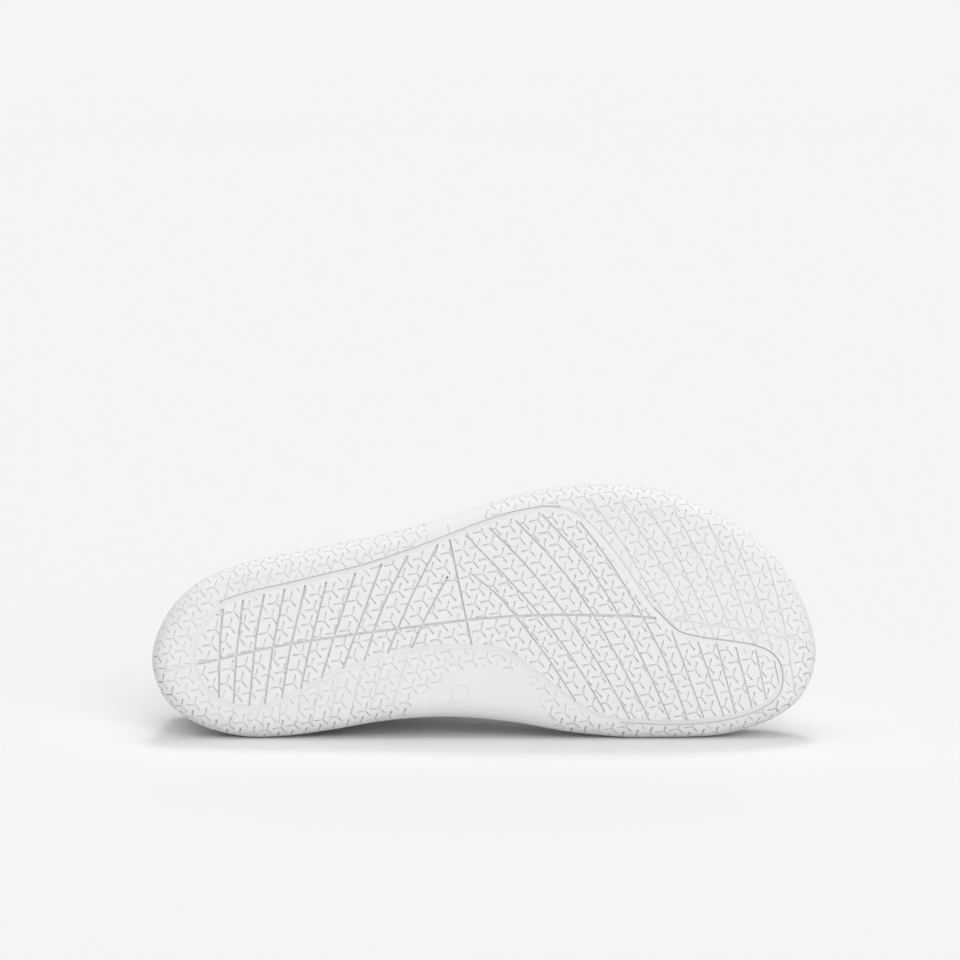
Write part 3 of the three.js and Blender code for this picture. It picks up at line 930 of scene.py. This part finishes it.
def gridNormals(points):  # the outward normals of a grid of stations and rows
    along = np.roll(points, -1, axis=0) - np.roll(points, 1, axis=0)
    normals = np.cross(along, np.gradient(points, axis=1))
    normals /= np.maximum(np.linalg.norm(normals, axis=-1, keepdims=True), 1e-9)
    outward = points[0, 2] - np.array([lastSizes["length"] / 2, points[0, 2, 1], points[0, 2, 2]])
    return normals * np.sign(normals[0, 2] @ outward)


def knitSurface(angles, lift=0.0):  # the crown with its creases, by angle up the side
    chosen = np.repeat(allStations[:, None], angles.shape[1], 1)
    outer = crownPoint(chosen, angles)
    normals = gridNormals(outer)
    normals[angles > rightAngle - 0.02] = 0, 0, 1
    return crownPoint(chosen, angles, lift) - normals * creaseDepth(outer)[..., None]


def knitUpper():
    sizes = upperSizes
    shares = np.linspace(0, 1, sizes["rows"])
    angles = collarAngle[:, None] * shares[None]
    outer = knitSurface(angles)
    inner = knitSurface(angles, -sizes["wall"])
    floor, radius = lastSizes["plate"] + sizes["gap"], lastSizes["bedRadius"] - sizes["gap"]
    rings = [ringAt(sizes["edge"] + sizes["wall"], floor + sizes["footThick"], True)]
    for angle in np.radians((50, 70, 90)):
        height = floor + radius * (1 - math.cos(angle))
        rings.append(ringAt(bedEdge - radius * math.sin(angle), height, True))
    firstOuter = len(rings)
    rings += list(outer.transpose(1, 0, 2))
    lastOuter = len(rings) - 1
    top, inside = outer[:, -1], inner[:, -1]
    topWay = np.cross(np.roll(top, -1, axis=0) - np.roll(top, 1, axis=0), top - inside)
    topWay = unit(topWay) * np.sign(topWay[0, 2])
    for share in (0.25, 0.5, 0.75):
        rise = sizes["topRound"] * math.sin(share * math.pi) * collarCut
        rings.append(top * (1 - share) + inside * share + topWay * rise[:, None])
    firstInner = len(rings)
    rings += list(inner.transpose(1, 0, 2))[::-1]
    size, faces, slots = len(allStations), [], []
    for face in ringFaces(len(rings), size, closed=True):
        ring, (i, j) = face[0] // size, (corner % size for corner in face[:2])
        if not lastOuter <= ring < firstInner or collarCut[i] or collarCut[j]:
            faces.append(face)
            slots.append(0 if firstOuter - 1 <= ring <= lastOuter + 1 else 1)
    made = meshObject("knit_upper", np.concatenate(rings), faces)
    made.data.polygons.foreach_set("material_index", slots)
    station = made.data.attributes.new("station", "INT", "POINT")
    station.data.foreach_set("value", np.tile(np.arange(size), len(rings)))
    return turnedOut(made, 2e-6, 1e-7)


print("upper")
upper = knitUpper()
crownGrid = knitSurface(np.linspace(0, rightAngle, 90)[None] * np.ones(len(allStations))[:, None])
crownTree = BVHTree.FromPolygons(
    [tuple(p) for p in toFrame(crownGrid.transpose(1, 0, 2).reshape(-1, 3))],
    [face[::-1] for face in ringFaces(90, len(allStations))])

cuffSizes = {
    "ribPitch": 2.5,
    "pointsPerRib": 6,
    "ribHeight": 0.55,
    "ribSharpness": 0.8,
    "firstDown": 0.8,
    "step": 1.0,
    "depth": 12,
    "seamDown": 10.4,
    "seamOff": 1.59,
    "stitchPitch": 2.5,
}

# The cuff's section: down from the collar, off the upper, and the share of the ribs' height
cuffRows = [
    (11.9, 0.25, 0), (12.3, 0.6, 0.3), (12, 1.0, 0.7), (11, 1.15, 1), (9, 1.15, 1), (6, 1.15, 1),
    (3, 1.15, 1), (1, 1.1, 1), (-0.2, 0.9, 1), (-1, 0.3, 0.9), (-1.35, -0.6, 0.8),
    (-1.35, -1.5, 0.6), (-1, -2.3, 0.4), (-0.2, -2.9, 0.3), (1, -3.1, 0.3), (4, -3.1, 0.3),
    (6, -3, 0.2), (6.3, -2.6, 0), (6, -2.2, 0), (1, -2.15, 0), (-0.5, -1.9, 0), (-0.6, -1, 0),
    (-0.5, -0.1, 0), (1, 0.15, 0), (6, 0.2, 0),
]


def marchDown(start, way, steps, step):  # walks down the upper's outside from its collar, in metres
    rows, normals = [], []
    place, heading = start.copy(), way.copy()
    for _ in range(steps + 1):
        found = [crownTree.find_nearest(p)[:2] for p in place]
        place, normal = (np.array([f[k] for f in found]) for k in (0, 1))
        rows.append(place)
        normals.append(normal)
        heading = unit(heading - normal * np.sum(heading * normal, axis=1)[:, None])
        place = place + heading * step * mm
    return np.array(rows), np.array(normals)


def collarLoop():  # points round the collar, spaced for a whole number of ribs, and its length
    sizes = cuffSizes
    order = np.flatnonzero(collarCut)
    medial = np.sum(order < halfWay)
    edge = knitSurface(collarAngle[:, None] * np.array([[0.97, 0.985, 1]]))[order, 2]
    front = upperSizes["collarFront"] * lastSizes["length"]
    near = np.argmin(np.abs(soleCentre[:halfWay, 0] - front))
    edge = np.insert(edge, medial, (front, soleCentre[near, 1], ridgeHeight(front)), axis=0)
    run = np.sum(np.linalg.norm(np.roll(edge, -1, axis=0) - edge, axis=1))
    count = round(run / sizes["ribPitch"]) * sizes["pointsPerRib"]
    loop = evenly(edge, run / count, True)
    loop = loop if len(loop) >= count else evenly(edge, run / (count + 1), True)
    return toFrame(loop[:count]), run


def ribbedCuff():  # the cuff, and the places and normals of the stitch row near its lower edge
    sizes = cuffSizes
    loop, run = collarLoop()
    size = len(loop)
    along = unit(np.roll(loop, -3, axis=0) - np.roll(loop, 3, axis=0))
    way = np.cross(along, loop - toFrame([(62, 44, 40)]))
    way *= -np.sign(way[0] @ heightWay)
    for _ in range(3):
        way = unit(way - along * np.sum(way * along, axis=1)[:, None])
    first = loop + way * sizes["firstDown"] * mm
    rows, normals = marchDown(first, way, sizes["depth"], sizes["step"])
    normals[0] = normals[1]
    normals = unit(normals + np.roll(normals, 1, axis=1) + np.roll(normals, -1, axis=1))
    upWay = unit(rows[0] - rows[2])

    def at(down, off):
        down = down - sizes["firstDown"]
        if down < 0:
            return rows[0] + (upWay * -down + normals[0] * off) * mm
        low = min(int(down / sizes["step"]), sizes["depth"] - 1)
        w = down / sizes["step"] - low
        place, facing = (grid[low] * (1 - w) + grid[low + 1] * w for grid in (rows, normals))
        return place + facing * off * mm

    wave = np.abs(np.sin(np.pi * np.arange(size) / sizes["pointsPerRib"])) ** sizes["ribSharpness"]
    rings = []
    for down, off, ribbed in cuffRows:
        ring = at(down, off)
        away = unit(ring - at(0.4, -1.0)) if down < 0 else normals[0] * (1 if off > -1.9 else -1)
        rings.append(ring + away * (wave * sizes["ribHeight"] * ribbed)[:, None] * mm)
    made = frameObject(
        "ribbed_cuff", np.concatenate(rings), ringFaces(len(rings), size, closed=True))
    lengths = np.linalg.norm(np.diff(np.array(rings + rings[:1]), axis=0), axis=2).mean(axis=1)
    downs = np.concatenate([[0], np.cumsum(lengths)])
    alongs = np.arange(size + 1) * run * mm / size
    corners = [(alongs[i + a], downs[k + b]) for k in range(len(rings)) for i in range(size)
               for a, b in ((0, 0), (1, 0), (1, 1), (0, 1))]
    made.data.uv_layers.new(name="knit").uv.foreach_set("vector", np.array(corners).ravel())
    return turnedOut(made), (at(sizes["seamDown"], sizes["seamOff"]), normals[8])


print("cuff")
cuff, cuffSeam = ribbedCuff()

counterSizes = {
    "height": 43.0,
    "length": 54.0,
    "foot": lastSizes["heelRim"] + upperSizes["gap"],
    "thickness": 1.0,
    "stitchIn": 2.4,
    "stitchPitch": 3.0,
}


def counterLine():
    height, length, foot = (counterSizes[name] for name in ("height", "length", "foot"))
    rows = [(-60, height), (0, height)]
    for share, fall in ((0.5, 0.2), (0.85, 0.6), (1, 1)):
        rows.append((length * share, height - fall * (height - foot)))
    return evenSpline(rows, 300)


def heelStations(line):  # the stations whose side meets the line, in order round the heel
    order = np.roll(allStations, halfWay)
    return order[soleEdge[order, 0] < line[-1, 0] + 1.5]


def heelCounter():
    gap, thick, foot = upperSizes["gap"], counterSizes["thickness"], counterSizes["foot"]
    line = counterLine()
    order = heelStations(line)
    bottom = angleAt(np.array([(-60, foot), (300, foot)]), order)
    top = np.maximum(angleAt(np.vstack([line, [(300, foot)]]), order), bottom)
    order, bottom, top = (a[top > bottom + 1e-3] for a in (order, bottom, top))
    section = [(share, gap + thick) for share in np.linspace(0, 0.94, 24)]
    section += [(0.965, gap + thick * 0.95), (0.985, gap + thick * 0.8), (0.997, gap + thick / 2)]
    section += [(share, gap) for share in (1, 0.8, 0.6, 0.4, 0.2, 0)]
    rings = [crownPoint(order, bottom + (top - bottom) * share, lift) for share, lift in section]
    size = len(order)
    faces = ringFaces(len(rings), size, closed=True, gap=1)
    faces.append(tuple(k * size for k in range(len(rings)))[::-1])
    faces.append(tuple(k * size + size - 1 for k in range(len(rings))))
    made = turnedOut(meshObject("heel_patch", np.concatenate(rings), faces))
    made.data.set_sharp_from_angle(angle=math.radians(50))
    return made


def counterSeam():  # places and normals of a stitch row that follows the counter's top edge
    line = lowered(counterLine(), counterSizes["stitchIn"])
    order = heelStations(line)
    angles = angleAt(np.vstack([line, [(300, line[-1, 1])]]), order)
    lift = upperSizes["gap"] + counterSizes["thickness"]
    points = crownPoint(order, angles, lift)
    kept = points[:, 2] > counterSizes["foot"] + 1.5
    above = toFrame(crownPoint(order, angles, lift + 1))
    points = toFrame(points)
    return points[kept], unit(above - points)[kept]


counter = heelCounter()
print("heel counter")

insoleSizes = {
    "thickness": 3.0,
    "round": 1.2,
    "dish": 0.5,
}


def softInsole():
    sizes = insoleSizes
    edge = upperSizes["edge"] + upperSizes["wall"] + upperSizes["gap"]
    low, turn = lastSizes["plate"] + upperSizes["gap"], sizes["round"]
    high = low + sizes["thickness"]
    rings = [ringAt(bedEdge + (soleReach - bedEdge) * share, low, True) for share in (1, 0.5, 0)]
    rings.append(ringAt(edge, (low + high) / 2, True))
    for angle in np.radians((0, 30, 60, 90)):
        inset, height = edge + turn * (1 - math.cos(angle)), high - turn * (1 - math.sin(angle))
        rings.append(ringAt(inset, height, True))
    for share in (0.03, 0.1, 0.25, 0.5, 0.75, 1):
        dish = sizes["dish"] * math.sin(min(share / 0.25, 1) * rightAngle)
        rings.append(ringAt(edge + turn + (soleReach - edge - turn) * share, high - dish, True))
    return ringObject("soft_insole", rings)


insole = softInsole()
print("insole")


def flattenKnit(piece):  # unwraps the knit with its seam up the heel and its wales along the foot
    bm = bmesh.new()
    bm.from_mesh(piece.data)
    station = bm.verts.layers.int["station"]
    for edge in bm.edges:
        sides = {face.material_index for face in edge.link_faces}
        edge.seam = len(sides) > 1 or all(vert[station] == 0 for vert in edge.verts)
    bm.to_mesh(piece.data)
    bm.free()
    bpy.context.view_layer.objects.active = piece
    piece.select_set(True)
    bpy.ops.object.mode_set(mode="EDIT")
    bpy.ops.mesh.select_all(action="SELECT")
    bpy.ops.uv.unwrap(method="CONFORMAL", margin=0.01)
    bpy.ops.object.mode_set(mode="OBJECT")
    piece.select_set(False)
    mesh = piece.data
    layer = mesh.uv_layers.active
    flat = np.empty(len(mesh.loops) * 2)
    layer.uv.foreach_get("vector", flat)
    flat = flat.reshape(-1, 2)
    outside = [p for p in mesh.polygons if p.material_index == 0]
    ends = []
    for at in np.array((0.8, 0.55)) * lastSizes["length"]:
        target = Vector(toFrame([(at, 48, ridgeHeight(at))])[0])
        nearest = min(outside, key=lambda p: (p.center - target).length)
        ends.append(flat[nearest.loop_start])
    way = ends[1] - ends[0]
    turn = math.pi / 2 - math.atan2(way[1], way[0])
    flat = flat @ np.array([[math.cos(turn), math.sin(turn)], [-math.sin(turn), math.cos(turn)]])
    flat -= flat.min(axis=0)
    flat /= flat.max()
    layer.uv.foreach_set("vector", flat.ravel())
    layer.name = "knit"
    drawn = 0
    for polygon in outside:
        x, y = flat[polygon.loop_start:polygon.loop_start + polygon.loop_total].T
        drawn += abs(np.dot(x, np.roll(y, -1)) - np.dot(y, np.roll(x, -1))) / 2
    return math.sqrt(sum(p.area for p in outside) / drawn)  # metres to one unit of the pattern


def knitHeight(tree, place, wale, course):  # rows of small V stitches, 0 between them and 1 on top
    split = addNode(tree, "ShaderNodeSeparateXYZ", {0: place})
    x = mathNode(tree, "MULTIPLY", split.outputs[0], 1 / wale)
    y = mathNode(tree, "MULTIPLY", split.outputs[1], 1 / course)
    off = mathNode(tree, "ABSOLUTE", mathNode(tree, "SUBTRACT", mathNode(tree, "FRACT", x), 0.5))
    slanted = mathNode(tree, "FRACT", mathNode(tree, "MULTIPLY_ADD", off, 1.5, y))
    strand = mathNode(tree, "SINE", mathNode(tree, "MULTIPLY", slanted, math.pi))
    strand = mathNode(tree, "POWER", strand, 0.6)
    leg = mathNode(tree, "SINE", mathNode(tree, "MULTIPLY", off, 2 * math.pi))
    leg = mathNode(tree, "MULTIPLY_ADD", mathNode(tree, "ABSOLUTE", leg), 0.75, 0.25)
    return mathNode(tree, "MULTIPLY", strand, leg), x, y


def holeShare(tree, x, y, looks):  # 0 in the pinholes, whose rows are shifted by half a step
    u, v = (mathNode(tree, "DIVIDE", value, step) for value, step in zip((x, y), looks["holeStep"]))
    u = mathNode(tree, "MULTIPLY_ADD", mathNode(tree, "FLOOR", v), 0.5, u)
    squares = []
    for value in (u, v):
        off = mathNode(tree, "SUBTRACT", mathNode(tree, "FRACT", value), 0.5)
        squares.append(mathNode(tree, "MULTIPLY", off, off))
    away = mathNode(tree, "SQRT", mathNode(tree, "ADD", *squares))
    hole = tree.nodes.new("ShaderNodeMapRange")
    hole.interpolation_type = "SMOOTHSTEP"
    setInputs(tree, hole, {
        "Value": away, "From Min": looks["holes"], "From Max": looks["holes"] * 1.9})
    return hole.outputs[0]


def clothMaterial(name, looks, unitLength=1.0):  # a textile on the piece's own flat pattern, with painted shade between the stitches and in the pinholes
    made, tree, shader = newMaterial(name)
    coordinates = tree.nodes.new("ShaderNodeTexCoord")
    place = coordinates.outputs["UV"]
    if looks["flat"]:
        place = addNode(tree, "ShaderNodeMapping", {
            "Vector": coordinates.outputs["Object"], "Rotation": (math.pi / 2, 0, 0)}).outputs[0]
    wale, course = (looks[name] * mm / unitLength for name in ("wale", "course"))
    height, x, y = knitHeight(tree, place, wale, course)
    if looks["holes"]:
        height = mathNode(tree, "MULTIPLY", height, holeShare(tree, x, y, looks))
    cloud = addNode(tree, "ShaderNodeTexNoise", {
        "Vector": coordinates.outputs["Object"], "Scale": 260, "Detail": 3})
    # painted shade: the colour darkens to the shade colour between the stitches and in the
    # pinholes, mixed with a slow random change of tone
    paintedShadeAndTone = mathNode(tree, "MULTIPLY", height, 0.75)
    paintedShadeAndTone = mathNode(tree, "MULTIPLY_ADD", cloud.outputs["Fac"], 0.3, paintedShadeAndTone)
    tint = tintNode(tree, paintedShadeAndTone, ((0.08, looks["shade"]), (0.7, looks["color"])))
    bump = addNode(tree, "ShaderNodeBump", {
        "Strength": looks["bump"], "Distance": 0.3 * mm, "Height": height})
    setInputs(tree, shader, {
        "Base Color": tint.outputs["Color"], "Normal": bump.outputs["Normal"],
        "Roughness": looks["roughness"], "Sheen Weight": looks["sheen"], "Sheen Roughness": 0.5})
    return made


# Each cloth's shade is the colour of the painted shade between its stitches and in its pinholes
clothLooks = {
    "upper_knit": {
        "color": (0.84, 0.83, 0.8), "shade": (0.56, 0.55, 0.52),
        "wale": 1.25, "course": 0.95, "bump": 0.9,
        "roughness": 0.88, "sheen": 0.2, "flat": False, "holes": 0.05, "holeStep": (4, 6)},
    "inner_lining": {
        "color": (0.68, 0.67, 0.64), "shade": (0.42, 0.41, 0.39),
        "wale": 0.9, "course": 0.8, "bump": 0.5,
        "roughness": 0.9, "sheen": 0.15, "flat": False, "holes": 0.12, "holeStep": (2, 2)},
    "cuff_knit": {
        "color": (0.74, 0.73, 0.7), "shade": (0.46, 0.45, 0.42),
        "wale": 0.625, "course": 0.7, "bump": 0.7,
        "roughness": 0.9, "sheen": 0.25, "flat": False, "holes": 0},
    "insole_cloth": {
        "color": (0.66, 0.65, 0.62), "shade": (0.4, 0.39, 0.37),
        "wale": 1.0, "course": 0.8, "bump": 0.6,
        "roughness": 0.92, "sheen": 0.1, "flat": True, "holes": 0.1, "holeStep": (6, 8)},
}

grainLooks = {
    "heel_microfibre": {
        "color": (0.82, 0.82, 0.8), "shade": (0.79, 0.79, 0.77),
        "cloudScale": 60, "grainScale": 3200,
        "grainBump": 0.5, "roughness": 0.6, "sheen": 0.15},
    "sewing_thread": {
        "color": (0.86, 0.86, 0.84), "shade": (0.74, 0.74, 0.72),
        "cloudScale": 900, "grainScale": 6000,
        "grainBump": 0.5, "roughness": 0.55, "sheen": 0.2},
}

patternUnit = flattenKnit(upper)
for piece, name, unitLength in (
        (upper, "upper_knit", patternUnit), (upper, "inner_lining", patternUnit),
        (cuff, "cuff_knit", 1.0), (insole, "insole_cloth", 1.0)):
    piece.data.materials.append(clothMaterial(name, clothLooks[name], unitLength))
counter.data.materials.append(grainMaterial("heel_microfibre", grainLooks["heel_microfibre"]))
thread = grainMaterial("sewing_thread", grainLooks["sewing_thread"])
print("cloth")

stitchSizes = {
    "Length": 2.1,
    "Width": 0.75,
    "Height": 0.55,
}


def stitchTree():  # stitches along a path whose points carry the surface's normal as "facing"
    tree = bpy.data.node_groups.new("stitch_row", "GeometryNodeTree")
    tree.interface.new_socket("Path", in_out="INPUT", socket_type="NodeSocketGeometry")
    for name in ("Pitch", *stitchSizes):
        tree.interface.new_socket(name, in_out="INPUT", socket_type="NodeSocketFloat")
    tree.interface.new_socket("Stitches", in_out="OUTPUT", socket_type="NodeSocketGeometry")
    given = tree.nodes.new("NodeGroupInput")
    curve = addNode(tree, "GeometryNodeMeshToCurve", {"Mesh": given.outputs["Path"]})
    spaced = tree.nodes.new("GeometryNodeResampleCurve")
    spaced.mode = "LENGTH"
    setInputs(tree, spaced, {"Curve": curve.outputs["Curve"], "Length": given.outputs["Pitch"]})
    facing = tree.nodes.new("GeometryNodeInputNamedAttribute")
    facing.data_type = "FLOAT_VECTOR"
    facing.inputs["Name"].default_value = "facing"
    tangent = tree.nodes.new("GeometryNodeInputTangent")
    along = addNode(tree, "FunctionNodeAlignRotationToVector", {
        "Vector": tangent.outputs["Tangent"]})
    upright = addNode(tree, "FunctionNodeAlignRotationToVector", {
        "Rotation": along.outputs["Rotation"], "Vector": facing.outputs["Attribute"]})
    along.axis, upright.axis, upright.pivot_axis = "X", "Z", "X"
    bead = addNode(tree, "GeometryNodeMeshUVSphere", {"Segments": 8, "Rings": 6, "Radius": 0.5})
    size = addNode(tree, "ShaderNodeCombineXYZ", {
        number: given.outputs[name] for number, name in enumerate(stitchSizes)})
    shaped = addNode(tree, "GeometryNodeTransform", {
        "Geometry": bead.outputs["Mesh"], "Scale": size.outputs[0]})
    placed = addNode(tree, "GeometryNodeInstanceOnPoints", {
        "Points": spaced.outputs["Curve"], "Instance": shaped.outputs["Geometry"],
        "Rotation": upright.outputs["Rotation"]})
    real = addNode(tree, "GeometryNodeRealizeInstances", {"Geometry": placed.outputs["Instances"]})
    finish = addNode(tree, "GeometryNodeSetMaterial", {
        "Geometry": real.outputs["Geometry"], "Material": thread})
    addNode(tree, "NodeGroupOutput", {"Stitches": finish.outputs["Geometry"]})
    return tree


def stitchRow(name, seam, pitch, closed=False):
    points, normals = seam
    count = len(points)
    edges = [(i, (i + 1) % count) for i in range(count if closed else count - 1)]
    made = frameObject(name, points, [], edges)
    facing = made.data.attributes.new("facing", "FLOAT_VECTOR", "POINT")
    facing.data.foreach_set("vector", np.array(normals).ravel())
    row = made.modifiers.new("stitches", "NODES")
    row.node_group = stitches
    given = {"Pitch": pitch, **stitchSizes}
    for socket in stitches.interface.items_tree:
        if socket.name in given:
            row[socket.identifier] = given[socket.name] * mm
    plain = finishedMesh(made)
    made.modifiers.clear()
    made.data = plain
    plain.name = name
    plain.shade_smooth()
    return made


stitches = stitchTree()
counterStitches = stitchRow("counter_stitches", counterSeam(), counterSizes["stitchPitch"])
cuffStitches = stitchRow("cuff_stitches", cuffSeam, cuffSizes["stitchPitch"], closed=True)
print("stitches", len(counterStitches.data.polygons), len(cuffStitches.data.polygons))

for piece, node in (
        (upper, "upper"), (cuff, "collar_cuff"), (counter, "heel_counter"), (insole, "insole")):
    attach(piece, "root")
    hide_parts(node)
for piece, slot in ((counterStitches, "heel_counter"), (cuffStitches, "collar_cuff")):
    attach(piece, "root")

stageLooks = {
    "floorColor": 0.857,
    # floorShade, shadeMiddle and shadeReach set a painted shade on the floor in front of the sole
    "floorShade": 0.805,
    "shadeMiddle": -0.09,
    "shadeReach": 0.2,
    "floorHalf": 300.0,
    "distance": 1.6,
    "pixel": 0.3861,
    "imageSize": 960,
    "sensor": 36,
    "aim": (127.3, 99.8),
}

# The sky's brightness by how high a way points
skyRows = [(0, 0.913), (0.1, 0.913), (0.22, 0.2), (0.72, 0.2), (0.9, 1.5), (1, 1.5)]

# Each light's way from the shoe, its strength and how wide it is in degrees
lightRows = {
    "top_light": ((0.05, 0.42, 0.9), 0.75, 14),
    "front_light": ((0.24, -0.8, 0.42), 1.3, 40),
}


def makeFloor():  # pale paper with painted shade, darker near the shoe where the white sole throws its light onto the floor
    looks, half = stageLooks, stageLooks["floorHalf"]
    corners = [(-half, -half, 0), (half, -half, 0), (half, half, 0), (-half, half, 0)]
    floor = frameObject("studio_floor", corners, [(0, 1, 2, 3)])
    made, tree, shader = newMaterial("studio_paper_painted_shade")
    scale = 1 / looks["shadeReach"]
    around = addNode(tree, "ShaderNodeMapping", {
        "Vector": tree.nodes.new("ShaderNodeTexCoord").outputs["Object"],
        "Location": (0, -looks["shadeMiddle"] * scale, 0), "Scale": (scale, scale, scale)})
    # painted shade: darkest in the middle of a round patch in front of the sole
    fall = addNode(tree, "ShaderNodeTexGradient", {"Vector": around.outputs["Vector"]})
    fall.gradient_type = "SPHERICAL"
    stops = [(place, [looks[name]] * 3) for place, name in ((0, "floorColor"), (1, "floorShade"))]
    tint = tintNode(tree, fall.outputs["Fac"], stops)
    tint.color_ramp.interpolation = "EASE"
    setInputs(tree, shader, {
        "Base Color": tint.outputs["Color"], "Roughness": 1.0, "Specular IOR Level": 0.0})
    floor.data.materials.append(made)


def makeSky():
    world = bpy.data.worlds.new("studio")
    world.use_nodes = True
    tree = world.node_tree
    way = tree.nodes.new("ShaderNodeTexCoord")
    height = addNode(tree, "ShaderNodeSeparateXYZ", {"Vector": way.outputs["Generated"]})
    ramp = addNode(tree, "ShaderNodeFloatCurve", {"Value": height.outputs["Z"]})
    ramp.mapping.clip_max_y = 4
    points = ramp.mapping.curves[0].points
    for place, value in skyRows[1:-1]:
        points.new(place, value)
    points[0].location, points[len(points) - 1].location = skyRows[0], skyRows[-1]
    for point in points:
        point.handle_type = "VECTOR"
    ramp.mapping.update()
    setInputs(tree, tree.nodes["Background"], {
        "Strength": ramp.outputs["Value"], "Color": (1, 1, 1, 1)})
    bpy.context.scene.world = world


def makeLight(name, way, strength, width):
    data = bpy.data.lights.new(name, "SUN")
    data.energy = strength
    data.angle = math.radians(width)
    made = bpy.data.objects.new(name, data)
    made.rotation_euler = Vector(way).to_track_quat("Z", "Y").to_euler()
    bpy.context.scene.collection.objects.link(made)


def makeCamera():
    looks = stageLooks
    data = bpy.data.cameras.new("camera")
    data.sensor_width = looks["sensor"]
    data.lens = looks["sensor"] * looks["distance"] / (looks["imageSize"] * looks["pixel"] * mm)
    made = bpy.data.objects.new("camera", data)
    away = Vector(-heightWay)
    made.location = Vector(toFrame([(*looks["aim"], 0)])[0]) + away * looks["distance"]
    made.rotation_euler = (-away).to_track_quat("-Z", "Y").to_euler()
    bpy.context.scene.collection.objects.link(made)
    bpy.context.scene.camera = made


makeFloor()
makeSky()
for name, row in lightRows.items():
    makeLight(name, *row)
makeCamera()
bpy.context.scene.view_settings.view_transform = "Standard"
print("stage")
